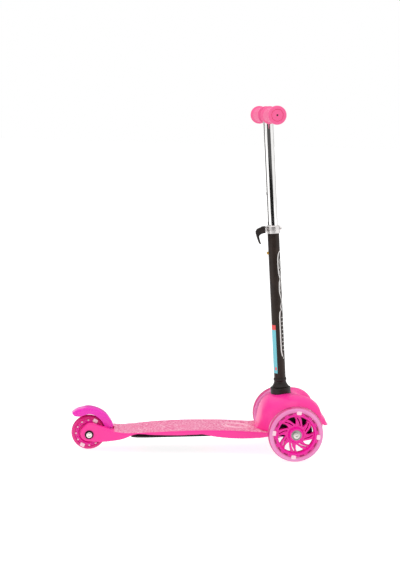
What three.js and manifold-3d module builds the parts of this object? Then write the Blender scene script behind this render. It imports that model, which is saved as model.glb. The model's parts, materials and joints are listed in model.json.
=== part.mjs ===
// A child's three-wheel kick scooter that steers by leaning.
// Millimetres. +X is forward, +Y is the rider's left, +Z is up. The origin is on the ground,
// under the middle of the scooter's outer box.

import * as THREE from "three";
import { mergeVertices } from "three/addons/utils/BufferGeometryUtils.js";
import Module from "manifold-3d";

const manifold = await Module();
manifold.setup();

// ---------------------------------------------------------------- driving dimensions
const GAP = 0.3; // left between two pieces that touch
const FRONT_AXLE = { x: 197.5, z: 60 };
const REAR_AXLE = { x: -241.5, z: 38 };
const TRACK_HALF = 106; // from the middle plane to the middle of a front wheel

// lamps are the angles of the lamps around the axle, and lampDepth is how far they reach into the tyre.
const FRONT_WHEEL = {
  tyre: 60, halfWidth: 12, ringOuter: 46.5, ringInner: 45, boss: 11.5, sides: 32,
  lamps: [85, 175, 265, 355], lampDepth: 4.5,
};
const REAR_WHEEL = {
  tyre: 38, halfWidth: 11, ringOuter: 28, ringInner: 26.5, boss: 11.5, sides: 28,
  lamps: [63, 243], lampDepth: 4,
};
const BEARING = { outer: 11, inner: 4.15, width: 6.8, face: 11.3 };
const BOLT_R = 3.8;

const LEAN_BOLT = { z: 78, r: 4.9 };
const KINGPIN_Y = 66;
const ARM = 33; // steering arm, and the drop from the lean bolt to the tie rod
const TIE_ROD_Z = LEAN_BOLT.z - ARM;

const STEM = { x: 179.4, z: 150, lean: THREE.MathUtils.degToRad(4.9) };
const OUTER_TUBE = { r: 12.75, bore: 11.45, from: -51, to: 348 };
const INNER_TUBE = { r: 11.15, bore: 9.6, from: 190 };
const CROSSBAR = { at: 590, r: 11, bore: 9.4, half: 116 };
const GRIP = { from: 20, to: 119, r: 14.8, flange: 19, end: 19.7 };
const BUTTON = { at: 291, r: 3.5, travel: 130 };
const CLAMP = {
  from: 334, to: 351, r: 15, bore: OUTER_TUBE.r + GAP, lip: 2.6,
  boltX: -20, boltAt: 344.2, boltR: 2.5, pinY: -12, pinR: 1.6, screwAt: 343.3,
};

const DECK_HALF = 55;
const DECK_WALL = 3.2;
const DECK_FRONT = 155;
const DECK_SEAT_Z = 51.5; // deck top under the front housing
const SLOT_HALF = 15.2; // half the slot between the rear fork arms
const FORK_HALF = 27;
const HOUSING_WALL = 3;
const HOUSING_BASE = 40;
const ARCH = { x: 203, z: 57, r: 58 };
const FENDER = { pinX: -194.5, pinZ: 49.5, half: 14.6, wall: 2.2 };
// Heights of each plate screw's head and tip, and the radius of its hole.
const PLATE_SCREWS = [{ x: -110, head: 36.2, top: 45.8 }, { x: 10, head: 39.5, top: 50.8 }];
const SCREW_HOLE = 1.9;

// ---------------------------------------------------------------- materials
const finish = (color, roughness, metalness = 0) =>
  new THREE.MeshStandardMaterial({ color, roughness, metalness });

const FINISH = {
  pink: () => finish(0xf9339a, 0.45),
  grip: () => finish(0xff5f9c, 0.6),
  tyre: () => finish(0xf04bb4, 0.25),
  fender: () => finish(0xf03cc6, 0.25),
  black: () => finish(0x1b1718, 0.55),
  rubber: () => finish(0x141414, 0.85),
  paint: () => finish(0x231d1e, 0.35, 0.3),
  chrome: () => finish(0xd8dadd, 0.12, 1),
  steel: () => finish(0xb9bbbe, 0.3, 1),
  brass: () => finish(0xb98d3e, 0.3, 1),
  light: () => finish(0xf6e9ef, 0.3),
};

// ---------------------------------------------------------------- solids
const degrees = THREE.MathUtils.degToRad;
const at2 = (x, y) => new THREE.Vector2(x, y);

/** A closed three.js geometry as a manifold solid, with its faces turned outwards. */
function solid(geometry) {
  const bare = geometry.index ? geometry.toNonIndexed() : geometry.clone();
  bare.deleteAttribute("normal");
  bare.deleteAttribute("uv");
  const merged = mergeVertices(bare, 1e-4);
  const vertices = merged.attributes.position.array;
  const index = merged.index.array;
  const faces = [];
  let volume = 0;
  const corner = (i) => new THREE.Vector3().fromArray(vertices, 3 * i);
  for (let i = 0; i < index.length; i += 3) {
    const [a, b, c] = [index[i], index[i + 1], index[i + 2]];
    if (a === b || b === c || c === a) continue;
    faces.push([a, b, c]);
    volume += corner(a).dot(corner(b).cross(corner(c)));
  }
  const turned = volume < 0 ? faces.map(([a, b, c]) => [a, c, b]) : faces;
  const mesh = new manifold.Mesh({
    numProp: 3,
    vertProperties: new Float32Array(vertices),
    triVerts: new Uint32Array(turned.flat()),
  });
  return new manifold.Manifold(mesh);
}

/** A manifold solid as a three.js geometry. */
function geometryOf(body) {
  const mesh = body.getMesh();
  const geometry = new THREE.BufferGeometry();
  geometry.setAttribute("position", new THREE.BufferAttribute(mesh.vertProperties, 3));
  geometry.setIndex(new THREE.BufferAttribute(mesh.triVerts, 1));
  return geometry;
}

const join = (...bodies) => bodies.reduce((all, body) => all.add(body));
const cut = (body, ...tools) => tools.reduce((left, tool) => left.subtract(tool), body);
const moved = (body, x, y, z) => body.translate([x, y, z]);
const mirroredY = (body) => body.mirror([0, 1, 0]);

/** A solid turned around the Z axis. Its closed profile lists [radius, z] pairs. */
function turned(profile, sides = 24) {
  const points = [...profile, profile[0]].map(([r, z]) => at2(r, z));
  return solid(new THREE.LatheGeometry(points, sides).rotateX(Math.PI / 2));
}

const tube = (outer, inner, from, to, sides = 24) =>
  turned([[inner, from], [outer, from], [outer, to], [inner, to]], sides);

/** A round bar along X, Y or Z, centred on the other two coordinates (a, b). */
function bar(axis, r, from, to, a = 0, b = 0, sides = 14) {
  const shape = new THREE.CylinderGeometry(r, r, to - from, sides);
  const middle = (from + to) / 2;
  if (axis === "x") shape.rotateZ(Math.PI / 2).translate(middle, a, b);
  if (axis === "y") shape.translate(a, middle, b);
  if (axis === "z") shape.rotateX(Math.PI / 2).translate(a, b, middle);
  return solid(shape);
}

function box(x0, x1, y0, y1, z0, z1) {
  const shape = new THREE.BoxGeometry(x1 - x0, y1 - y0, z1 - z0);
  return solid(shape.translate((x0 + x1) / 2, (y0 + y1) / 2, (z0 + z1) / 2));
}

const prism = (outline, depth) =>
  new THREE.ExtrudeGeometry(new THREE.Shape(outline.map(([a, b]) => at2(a, b))), {
    depth,
    bevelEnabled: false,
    curveSegments: 1,
  });

/** An [x, z] outline drawn from y0 to y1. */
const acrossY = (outline, y0, y1) =>
  solid(prism(outline, y1 - y0).rotateX(Math.PI / 2).translate(0, y1, 0));

/** An [x, y] outline drawn from z0 to z1. */
const alongZ = (outline, z0, z1) => solid(prism(outline, z1 - z0).translate(0, 0, z0));

/** A [y, z] outline drawn from x0 to x1. */
function alongX(outline, x0, x1) {
  const turn = new THREE.Matrix4().makeBasis(
    new THREE.Vector3(0, 1, 0),
    new THREE.Vector3(0, 0, 1),
    new THREE.Vector3(1, 0, 0),
  );
  return solid(prism(outline, x1 - x0).applyMatrix4(turn).translate(x0, 0, 0));
}

/** Points on an arc, as pairs, from one angle to another in degrees. */
function arc(x, y, r, from, to, steps) {
  return Array.from({ length: steps + 1 }, (_, i) => {
    const angle = degrees(from + ((to - from) * i) / steps);
    return [x + r * Math.cos(angle), y + r * Math.sin(angle)];
  });
}

/** A skin over sections of equal length, closed by a fan of triangles at each end. */
function loft(sections) {
  const count = sections[0].length;
  const middle = (ring) => [0, 1, 2].map((k) => ring.reduce((sum, p) => sum + p[k] / count, 0));
  const positions = [...sections.flat(), middle(sections[0]), middle(sections.at(-1))].flat();
  const last = (sections.length - 1) * count;
  const [firstMiddle, lastMiddle] = [last + count, last + count + 1];
  const faces = [];
  for (let i = 0; i < count; i += 1) {
    const j = (i + 1) % count;
    for (let row = 0; row < last; row += count) {
      const [a, b, c, d] = [row + i, row + j, row + count + j, row + count + i];
      faces.push(a, b, c, a, c, d);
    }
    faces.push(firstMiddle, j, i, lastMiddle, last + i, last + j);
  }
  const geometry = new THREE.BufferGeometry();
  geometry.setAttribute("position", new THREE.Float32BufferAttribute(positions, 3));
  geometry.setIndex(faces);
  return solid(geometry);
}

const hexagon = (r) => arc(0, 0, r, 0, 300, 5);

/** Puts a solid into a group as a named piece. */
function place(group, name, body, material) {
  const mesh = new THREE.Mesh(geometryOf(body), material());
  mesh.name = name;
  group.add(mesh);
}

const scooter = new THREE.Group();

// ---------------------------------------------------------------- the stem's own frame
// Its Z axis is the leaning stem, and its origin is on that axis at the stem cone.
const stem = new THREE.Group();
stem.position.set(STEM.x, 0, STEM.z);
stem.rotation.y = -STEM.lean;
stem.updateMatrix();
scooter.add(stem);

/** A solid drawn in the stem's frame, carried into the scooter's frame. */
const fromStem = (body) => body.transform(stem.matrix.toArray());

// ---------------------------------------------------------------- deck
const DECK_TOP = [
  [-195, 50], [-165, 46.3], [-140, 46], [-96, 50], [-58, 52.2], [-20, 53.9], [10, 54.4],
  [60, 54.4], [91, 52.8], [124, DECK_SEAT_Z], [DECK_FRONT, DECK_SEAT_Z],
];
const DECK_BOTTOM = [
  [DECK_FRONT, 46], [145, 43], [129, 38.8], [107, 37], [85, 36.5], [58, 37.8], [30, 40.8],
  [4, 46], [-50, 43.4], [-105, 43.8], [-140, 44.5], [-163, 35], [-176, 30.5], [-197, 26],
  [-213, 22.8], [-225, 22],
];
const DECK_PLAN = [
  [-270, FORK_HALF], [-230, FORK_HALF], [-217, 31], [-200, 38], [-178, 44], [-140, 50],
  [-95, 54], [-60, DECK_HALF], [105, DECK_HALF], [128, 58], [145, 64], [160, 69],
];

// Where the deck's top rolls over to its sides behind the rider's foot: [x, where it starts, its
// height there, its height at the edge].
const SHOULDER = [
  [-204, 30, 53, 53], [-192, 22, 49.5, 45], [-165, 22, 46.5, 43.5], [-140, 34, 46.8, 45.6],
  [-118, 44, 48.6, 47.8], [-92, 54, 50.2, 50.1],
];

/** What is cut away above the deck's left rear shoulder. */
const aboveShoulder = () =>
  loft(SHOULDER.map(([x, y, start, edge]) => [[x, y, start], [x, 64, edge], [x, 64, 80], [x, y, 80]]));

/** A half-plan outline, mirrored into a closed one. */
const bothSides = (half) => [...half, ...half.map(([x, y]) => [x, -y]).reverse()];

function deckShell() {
  const { x, z } = REAR_AXLE;
  const boss = [[-236, 22.8], ...arc(x - 1, z + 2, 17.5, 245, 130, 6), [-246, 62], [-237, 65]];
  const side = [...DECK_BOTTOM, ...boss, [-222, 58.5], [-209, 54.5], ...DECK_TOP];
  const body = acrossY(side, -80, 80).intersect(alongZ(bothSides(DECK_PLAN), 0, 100));

  const ceiling = DECK_TOP.filter(([px]) => px > -139 && px < 130);
  const inside = [
    [-139, 0], ...ceiling.map(([px, pz]) => [px, pz - DECK_WALL]), [148, 48], [148, 0],
  ];
  const narrower = DECK_PLAN.map(([px, py]) => [px, py - DECK_WALL]);
  const hollow = acrossY(inside, -80, 80).intersect(alongZ(bothSides(narrower), -1, 100));
  const bosses = PLATE_SCREWS.map(({ x: px, top }) => bar("z", 5, top - 4, top + 1, px, 0, 12));
  const screwHoles = PLATE_SCREWS.map(({ x: px, top }) =>
    bar("z", SCREW_HOLE, 30, top + GAP, px, 0, 10),
  );

  const wheelSlot = box(-290, -198.5, -SLOT_HALF, SLOT_HALF, 0, 100);
  const hingeSlot = box(-200, -187.5, -SLOT_HALF, SLOT_HALF, 43.5, 100);
  const axleHole = bar("y", BOLT_R + GAP, -40, 40, x, z);
  const pinHole = bar("y", 1.8 + GAP, -24, 24, FENDER.pinX, FENDER.pinZ, 12);
  const shoulders = [aboveShoulder(), mirroredY(aboveShoulder())];
  const shell = join(cut(body, hollow, ...shoulders), ...bosses);
  return cut(shell, ...screwHoles, wheelSlot, hingeSlot, axleHole, pinHole);
}

/** The black plate that closes the deck from below, with two long ribs on it. */
function underPlate() {
  const slab = [
    [-150, 35.6], [30, 40.6], [46, 44.4], [46, 46.2], [30, 44.6], [-148, 39.6], [-151, 37.5],
  ];
  const ribs = [-26, 26].map((y) =>
    acrossY([[-138, 38], [28, 42.5], [28, 46.5], [-138, 41.6]], y - 2, y + 2),
  );
  const plate = join(acrossY(slab, -46, 46), ...ribs);
  const corner = alongZ(bothSides([[-151, 38], [-138, 44], [-120, 46], [20, 46], [46, 40]]), 0, 80);
  const holes = PLATE_SCREWS.map(({ x }) => bar("z", SCREW_HOLE, 30, 60, x, 0, 10));
  return cut(plate.intersect(corner), ...holes);
}

const plateScrew = ({ x, head, top }) =>
  join(bar("z", 3.6, head - 2, head, x, 0), bar("z", 1.6, head - 0.5, top, x, 0, 10));

place(scooter, "deck_shell", deckShell(), FINISH.pink);
place(scooter, "under_plate", underPlate(), FINISH.black);
place(scooter, "plate_screw_rear", plateScrew(PLATE_SCREWS[0]), FINISH.steel);
place(scooter, "plate_screw_front", plateScrew(PLATE_SCREWS[1]), FINISH.steel);

// ---------------------------------------------------------------- front housing
// Stations along X: [x, half width, height in the middle, height at the two crests].
const HOUSING = [
  [131.4, 22, 62, 62], [133.5, 30, 81, 78], [138, 39, 100, 94], [147, 52, 117, 108],
  [158, 63, 126, 117], [180, 76, 130, 127.5], [202, 82, 129, 133], [216, 82, 124, 133.5],
  [230, 82, 114, 132], [243, 80, 101, 128], [255, 77, 88, 120], [263, 74, 80, 108],
  [272, 70, 74, 88], [279.5, 63, 71, 73.5],
];
const CREST_Y = 50;

const SECTION_STEPS = 14;

/** One station's section. inset shrinks it, and base is where its flat bottom lies. */
function housingSection([x, half, middle, crest], inset, base) {
  const [rear, front] = [HOUSING[0][0], HOUSING.at(-1)[0]];
  const centre = (rear + front) / 2;
  const squeeze = 1 - (2 * inset) / (front - rear);
  return Array.from({ length: SECTION_STEPS + 1 }, (_, i) => {
    const a = degrees(-90 + (180 * i) / SECTION_STEPS);
    const y = (half - inset) * Math.sign(a) * Math.sqrt(Math.abs(Math.sin(a)));
    const rise = Math.sin((Math.PI / 2) * Math.min(1, Math.abs(y) / CREST_Y)) ** 2;
    const top = middle + (crest - middle) * rise - inset;
    const z = i % SECTION_STEPS ? base + (top - base) * Math.sqrt(Math.cos(a)) : base;
    return [centre + (x - centre) * squeeze, y, z];
  });
}

const housingBody = (inset, base) =>
  loft(HOUSING.map((station) => housingSection(station, inset, base)));

function frontHousing() {
  const outside = housingBody(0, HOUSING_BASE);
  const seat = outside.intersect(fromStem(bar("z", 26, -32.5, -24.6)));
  const shell = join(cut(outside, housingBody(HOUSING_WALL, HOUSING_BASE - 10)), seat);
  const belowRim = [
    [90, 20], [90, DECK_SEAT_Z + GAP], ...arc(ARCH.x, ARCH.z, ARCH.r, 185, 19, 12),
    [265.4, 75.3], [270.7, 70.9], [276, 69.8], [310, 69.8], [310, 20],
  ];
  const ringRoom = fromStem(bar("z", 22.8, -24.4, 20, 0, 0, 28));
  const stemHole = fromStem(bar("z", 13.6, -60, 20, 0, 0, 24));
  return cut(shell, acrossY(belowRim, -100, 100), ringRoom, stemHole);
}

place(scooter, "front_housing", frontHousing(), FINISH.pink);

// ---------------------------------------------------------------- neck block
// It joins the deck, the stem and the lean bolt, and its peg moves the tie rod.
const PEG_X = FRONT_AXLE.x - ARM;

function neckBlock() {
  const side = [
    [141, 52], [157, 52], [157, 56], [178.5, 56], [178.5, 96], [216.5, 96], [216.5, 66],
    [226, 66], [226, 104], [206, 115], [160, 115], [152, 100], [150, 62], [141, 60],
  ];
  const wings = box(184, 211, -38, 38, 96, 105);
  const foot = box(141, 157, -30, 30, 52, 59);
  const peg = bar("z", 2.6, 41, 58, PEG_X, 0, 14);
  const socket = fromStem(bar("z", OUTER_TUBE.r + GAP, OUTER_TUBE.from - GAP, 40, 0, 0, 28));
  const boltHole = bar("x", LEAN_BOLT.r + GAP, 130, 240, 0, LEAN_BOLT.z);
  return cut(join(acrossY(side, -19, 19), wings, foot, peg), socket, boltHole);
}

function leanBolt() {
  const head = alongX(hexagon(9), 226 + GAP, 232).translate([0, 0, LEAN_BOLT.z]);
  return join(head, bar("x", LEAN_BOLT.r, 141.5, 227, 0, LEAN_BOLT.z));
}

function leanNut() {
  const nut = alongX(hexagon(9), 143, 150 - GAP).translate([0, 0, LEAN_BOLT.z]);
  return cut(nut, bar("x", LEAN_BOLT.r + GAP, 130, 160, 0, LEAN_BOLT.z));
}

place(scooter, "neck_block", neckBlock(), FINISH.black);
place(scooter, "lean_bolt", leanBolt(), FINISH.steel);
place(scooter, "lean_nut", leanNut(), FINISH.steel);
for (const [name, side] of [["left", 1], ["right", -1]]) {
  const bumper = bar("z", 6.5, 86 + GAP, 96 - GAP, FRONT_AXLE.x, 28 * side, 16);
  place(scooter, `${name}_bumper`, bumper, FINISH.rubber);
}

// ---------------------------------------------------------------- stem
const stemRing = tube(22.3, 13.1, -24.1, -8.6, 28);
const stemCone = turned(
  [[13.1, -8], [18, -8], [19, -6.5], [19, -4.5], [14.4, 7.6], [13.1, 9]],
  28,
);

function outerTube() {
  const pipe = tube(OUTER_TUBE.r, OUTER_TUBE.bore, OUTER_TUBE.from, OUTER_TUBE.to, 28);
  const buttonHole = bar("x", BUTTON.r + GAP, -20, 0, 0, BUTTON.at, 16);
  return cut(pipe, buttonHole);
}

/** The split collar with its two rear ears. Its top lip closes on the inner tube. */
function clampCollar() {
  const { from, to, r, bore, lip, boltX, boltAt, boltR, screwAt } = CLAMP;
  const lipBore = INNER_TUBE.r + 0.5;
  const profile = [
    [bore, from], [r, from], [r, to - 1], [r - 1, to], [lipBore, to], [lipBore, to - lip],
    [bore, to - lip],
  ];
  const ears = [[-6.5, -2], [2, 6.5]].map(([y0, y1]) =>
    box(boltX - 6, -13.4, y0, y1, boltAt - 6, boltAt + 6),
  );
  const slit = box(-40, -5, -2, 2, from - 1, to + 1);
  const tubeRoom = bar("z", bore, from - 1, to - lip, 0, 0, 24);
  const boltHole = bar("y", boltR + GAP, -10, 10, boltX, boltAt, 14);
  const screwHole = bar("x", 2 + GAP, 5, 20, 0, screwAt, 12);
  return cut(join(turned(profile, 24), ...ears), slit, tubeRoom, boltHole, screwHole);
}

const clampScrew = join(
  bar("x", 4.2, CLAMP.r + GAP, 19.4, 0, CLAMP.screwAt, 18),
  bar("x", 2, OUTER_TUBE.r + GAP, 16, 0, CLAMP.screwAt, 12),
);

const EYE_HALF = 3.7;
const leverPinHole = () => bar("z", CLAMP.pinR + GAP, 300, 400, CLAMP.boltX, CLAMP.pinY, 12);

/** The bolt through the ears. Its right end is an eye for the lever's pin. */
function clampBolt() {
  const { boltX, boltAt, boltR, pinY } = CLAMP;
  const shank = bar("y", boltR, pinY, 12.5, boltX, boltAt, 14);
  const eye = bar("z", 4.3, boltAt - EYE_HALF, boltAt + EYE_HALF, boltX, pinY, 18);
  return cut(join(shank, eye), leverPinHole());
}

function clampNut() {
  const { boltX, boltAt, boltR } = CLAMP;
  return cut(
    bar("y", 5.2, 6.5 + GAP, 12, boltX, boltAt, 16),
    bar("y", boltR + GAP, 0, 20, boltX, boltAt, 14),
  );
}

place(stem, "stem_ring", stemRing, FINISH.black);
place(stem, "stem_cone", stemCone, FINISH.black);
place(stem, "outer_tube", outerTube(), FINISH.paint);
place(stem, "clamp_collar", clampCollar(), FINISH.steel);
place(stem, "clamp_screw", clampScrew, FINISH.steel);
place(stem, "clamp_bolt", clampBolt(), FINISH.steel);
place(stem, "clamp_nut", clampNut(), FINISH.steel);

// ---------------------------------------------------------------- quick-release lever
const LEVER = { low: CLAMP.boltAt - 7.8, high: CLAMP.boltAt + 7.6, half: 4.9 };

function leverBody() {
  const { boltX, boltAt, pinY } = CLAMP;
  const { low, high, half } = LEVER;
  const outline = [
    [boltX, high], [-27, 351.2], [-37.5, 347], [-41, 341.5], [-40.2, 334], [-36.6, 325],
    [-32.8, 314.4], [-30, 312.6], [-27.8, 314.4], [-30.6, 325], [-31.6, 332.4], [-26, low],
    [boltX, low],
  ];
  const arms = bar("z", half, low, high, boltX, pinY, 20);
  const body = join(acrossY(outline, pinY - half, pinY + half), arms);
  const eyeReach = EYE_HALF + GAP;
  const eyeRoom = box(-27.5, 0, -40, 10, boltAt - eyeReach, boltAt + eyeReach);
  return cut(body, eyeRoom, leverPinHole());
}

const leverPin = bar(
  "z", CLAMP.pinR, LEVER.low + 0.2, LEVER.high - 0.2, CLAMP.boltX, CLAMP.pinY, 12,
);

place(stem, "lever", leverBody(), FINISH.black);
place(stem, "lever_pin", leverPin, FINISH.steel);

// ---------------------------------------------------------------- handlebar
function innerTube() {
  const pipe = tube(INNER_TUBE.r, INNER_TUBE.bore, INNER_TUBE.from, CROSSBAR.at, 28);
  const saddle = bar("y", CROSSBAR.r + GAP, -30, 30, 0, CROSSBAR.at, 28);
  const heightHoles = [0, 0.5, 1].map((part) =>
    bar("x", BUTTON.r + 0.4, -20, 0, 0, BUTTON.at + part * BUTTON.travel, 14),
  );
  return cut(pipe, saddle, ...heightHoles);
}

/** The plastic foot of the sliding tube, whose flange runs inside the black tube. */
function glideBushing() {
  const { bore, from } = INNER_TUBE;
  const [flange, hollow] = [11, 7.6];
  const profile = [
    [hollow, from - 8], [flange, from - 8], [flange, from - GAP], [bore - GAP, from - GAP],
    [bore - GAP, from + 10], [hollow, from + 10],
  ];
  return turned(profile, 24);
}

function crossbar() {
  const { at, r, bore, half } = CROSSBAR;
  return tube(r, bore, -half, half, 28).rotate([90, 0, 0]).translate([0, 0, at]);
}

/** The left grip. Its outer end is a mushroom with a small hole in its middle. */
function grip() {
  const { from, to, r, flange, end } = GRIP;
  const bore = CROSSBAR.r + GAP;
  const profile = [
    [bore, from], [flange, from], [flange, from + 3], [r, from + 5.5], [r + 0.6, to - 10],
    [end, to - 6], [end, to - 2], [end - 2, to], [2, to], [2, to - 2.6], [bore, to - 2.6],
  ];
  return turned(profile, 18).rotate([-90, 0, 0]).translate([0, 0, CROSSBAR.at]);
}

place(stem, "inner_tube", innerTube(), FINISH.chrome);
place(stem, "glide_bushing", glideBushing(), FINISH.black);
place(stem, "crossbar", crossbar(), FINISH.chrome);
place(stem, "left_grip", grip(), FINISH.grip);
place(stem, "right_grip", mirroredY(grip()), FINISH.grip);

const heightButton = join(
  bar("x", BUTTON.r, -15.6, -INNER_TUBE.r - 0.4, 0, BUTTON.at, 18),
  bar("x", BUTTON.r - 0.9, -16.7, -15, 0, BUTTON.at, 18),
);
place(stem, "height_button", heightButton, FINISH.brass);

// ---------------------------------------------------------------- truck and steering
/** The beam that carries both front wheels and turns on the lean bolt. */
function truckBeam() {
  const half = [
    [0, 92], [10, 91], [18, 86], [40, 86], [52, 80], [76, 80], [76, 72.5], [57.5, 72.5],
    [57.5, 47.5], [76, 47.5], [76, 40], [52, 40], [40, 50], [16, 63], [0, 64],
  ];
  const outline = [...half, ...half.slice(1, -1).map(([y, z]) => [-y, z]).reverse()];
  const beam = alongX(outline, 181, 214);
  const boltHole = bar("x", LEAN_BOLT.r + GAP, 170, 230, 0, LEAN_BOLT.z);
  const pinHoles = [-1, 1].map((side) =>
    bar("z", 4 + GAP, 30, 90, FRONT_AXLE.x, KINGPIN_Y * side, 16),
  );
  return cut(beam, boltHole, ...pinHoles);
}

/** A kingpin, with a head above the beam. */
const kingpin = (side) =>
  join(
    bar("z", 4, 39, 81, FRONT_AXLE.x, KINGPIN_Y * side, 16),
    bar("z", 6.5, 80 + GAP, 83, FRONT_AXLE.x, KINGPIN_Y * side, 16),
  );

/** The left knuckle: block, half-round shield behind the wheel, axle stub and steering arm. */
function knuckle() {
  const { x, z } = FRONT_AXLE;
  const block = box(x - 10, x + 10, 60, 88, 48, 72);
  const shield = acrossY(arc(x, z, 39, 4, 176, 16), 87.5, 90.5);
  const stub = bar("y", 6, 87, TRACK_HALF - BEARING.face - GAP, x, z, 16);
  const armEnd = arc(PEG_X, KINGPIN_Y, 5, 250, 110, 4);
  const arm = alongZ([[x - 9, 61], [PEG_X, 61], ...armEnd, [x - 9, 71]], 48, 54);
  const axleHole = bar("y", BOLT_R + GAP, 75.5, 100, x, z, 16);
  const kingpinHole = bar("z", 4 + GAP, 30, 90, x, KINGPIN_Y, 16);
  const tiePinHole = bar("z", 2 + GAP, 30, 60, PEG_X, KINGPIN_Y, 12);
  return cut(join(block, shield, stub, arm), axleHole, kingpinHole, tiePinHole);
}

/** The left axle bolt, with its round head outside the wheel. */
function axleBolt() {
  const { x, z } = FRONT_AXLE;
  const face = TRACK_HALF + BEARING.face + GAP;
  return join(
    bar("y", BOLT_R, 76, face + 1, x, z, 16),
    bar("y", 7, face, face + 2.4, x, z, 20),
    bar("y", 5.2, face + 2, face + 3.5, x, z, 20),
  );
}

/** A tie-rod pin, with a head above the steering arm. */
const tiePin = (side) =>
  join(
    bar("z", 2, TIE_ROD_Z - 3.5, 55, PEG_X, KINGPIN_Y * side, 12),
    bar("z", 3.6, 54 + GAP, 56.5, PEG_X, KINGPIN_Y * side, 14),
  );

/** The flat rod between the two steering arms. The neck block's peg sits in its middle slot. */
function tieRod() {
  const end = KINGPIN_Y + 5.5;
  const [low, high] = [TIE_ROD_Z - 2.2, TIE_ROD_Z + 2.2];
  const strip = box(PEG_X - 5, PEG_X + 5, -end, end, low, high);
  const pad = bar("z", 9, low, high, PEG_X, 0, 20);
  const slot = bar("z", 4.2, 30, 60, PEG_X, 0, 16);
  const holes = [-1, 1].map((side) => bar("z", 2 + GAP, 30, 60, PEG_X, KINGPIN_Y * side, 12));
  return cut(join(strip, pad), slot, ...holes);
}

place(scooter, "truck_beam", truckBeam(), FINISH.black);
place(scooter, "tie_rod", tieRod(), FINISH.steel);
for (const [name, side] of [["left", 1], ["right", -1]]) {
  const onSide = (body) => (side > 0 ? body : mirroredY(body));
  place(scooter, `${name}_kingpin`, kingpin(side), FINISH.steel);
  place(scooter, `${name}_knuckle`, onSide(knuckle()), FINISH.black);
  place(scooter, `${name}_axle_bolt`, onSide(axleBolt()), FINISH.chrome);
  place(scooter, `${name}_tie_pin`, tiePin(side), FINISH.steel);
}

// ---------------------------------------------------------------- wheels
// A wheel is drawn around its own Z axis, with its outer face at +Z.
/** One lamp at an angle around the axle, made larger all round by some room. */
function lampBlock(spec, angle, room) {
  const low = spec.ringOuter - 0.6 - room;
  const high = spec.ringOuter + spec.lampDepth + room;
  const [halfLength, halfWidth] = [4.5 + room, 4 + room];
  return box(low, high, -halfLength, halfLength, -halfWidth, halfWidth).rotate([0, 0, angle]);
}

/** A tyre with its flats turned so that one of them lies on the ground. */
function tyre(spec) {
  const { tyre: r, halfWidth: half, ringOuter, sides } = spec;
  const grow = 1 / Math.cos(Math.PI / sides);
  const inner = (ringOuter + GAP) * grow;
  const outline = [
    [inner, -half + 2], [r - 6, -half], [r * grow, -half + 5],
    [r * grow, half - 5], [r - 6, half], [inner, half - 2],
  ];
  const body = turned(outline, sides).rotate([0, 0, 180 / sides]);
  return cut(body, ...spec.lamps.map((angle) => lampBlock(spec, angle, GAP)));
}

/** The ring between hub and tyre that carries the lamps. */
function lightRing(spec) {
  const ring = tube(spec.ringOuter, spec.ringInner, -5, 5, 24);
  return join(ring, ...spec.lamps.map((angle) => lampBlock(spec, angle, 0)));
}

/** A hub turned in one piece, with its bearing pockets, before any spoke holes are cut. */
function hubBlank(spec) {
  const rim = spec.ringInner - 0.5;
  const rimInside = rim - 4.5;
  const rimFace = spec.halfWidth - 2.5;
  const pocket = BEARING.outer + GAP;
  const side = [[15.6, 4], [rimInside, 4], [rimInside, rimFace], [rim, rimFace]];
  const outer = [[pocket, spec.boss], [14.5, spec.boss], ...side];
  const inner = [[6.6, 4.2], [pocket, 4.2]];
  const upper = [...inner, ...outer];
  const lower = upper.map(([r, z]) => [r, -z]).reverse();
  return turned([...upper, ...lower], 24);
}

/** One of the eight curved openings between the front hub's swirling spokes. */
function swirlHole(turn) {
  const polar = [[24, -14], [31, -13], [36, -10], [38, -3], [38, 6], [36.5, 14], [31, 4]];
  const outline = polar.map(([r, a]) => {
    const angle = degrees(a + turn);
    return [r * Math.cos(angle), r * Math.sin(angle)];
  });
  return alongZ(outline, -20, 20);
}

function frontHub() {
  const holes = Array.from({ length: 8 }, (_, i) => swirlHole(18 + 45 * i));
  return cut(hubBlank(FRONT_WHEEL), ...holes);
}

const bearing = (side) => {
  const [near, far] = [BEARING.face, BEARING.face - BEARING.width].map((z) => z * side);
  return tube(BEARING.outer, BEARING.inner, Math.min(near, far), Math.max(near, far), 14);
};
const spacer = () => tube(6.2, BEARING.inner, -4.2, 4.2, 12);

/** Builds one wheel in its own turned group. */
function wheel(name, spec, hub, x, y, z, outward) {
  const group = new THREE.Group();
  group.position.set(x, y, z);
  group.rotation.x = outward * (-Math.PI / 2);
  place(group, `${name}_tyre`, tyre(spec), FINISH.tyre);
  place(group, `${name}_hub`, hub, FINISH.pink);
  place(group, `${name}_light_ring`, lightRing(spec), FINISH.light);
  place(group, `${name}_outer_bearing`, bearing(1), FINISH.steel);
  place(group, `${name}_inner_bearing`, bearing(-1), FINISH.steel);
  place(group, `${name}_spacer`, spacer(), FINISH.steel);
  scooter.add(group);
}

wheel("left_front", FRONT_WHEEL, frontHub(), FRONT_AXLE.x, TRACK_HALF, FRONT_AXLE.z, 1);
wheel("right_front", FRONT_WHEEL, frontHub(), FRONT_AXLE.x, -TRACK_HALF, FRONT_AXLE.z, -1);
wheel("rear", REAR_WHEEL, hubBlank(REAR_WHEEL), REAR_AXLE.x, 0, REAR_AXLE.z, -1);

// ---------------------------------------------------------------- rear axle
function rearBolt() {
  const { x, z } = REAR_AXLE;
  const face = -FORK_HALF - 1.5 - 2 * GAP;
  return join(
    bar("y", BOLT_R, face - 1, 34, x, z, 16),
    bar("y", 7, face - 2.4, face, x, z, 20),
    bar("y", 5.2, face - 3.4, face - 2, x, z, 20),
  );
}

function rearNut() {
  const { x, z } = REAR_AXLE;
  const nut = alongZ(hexagon(7), 29.1, 33.5).rotate([-90, 0, 0]).translate([x, 0, z]);
  return cut(nut, bar("y", BOLT_R + GAP, 20, 40, x, z, 16));
}

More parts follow.
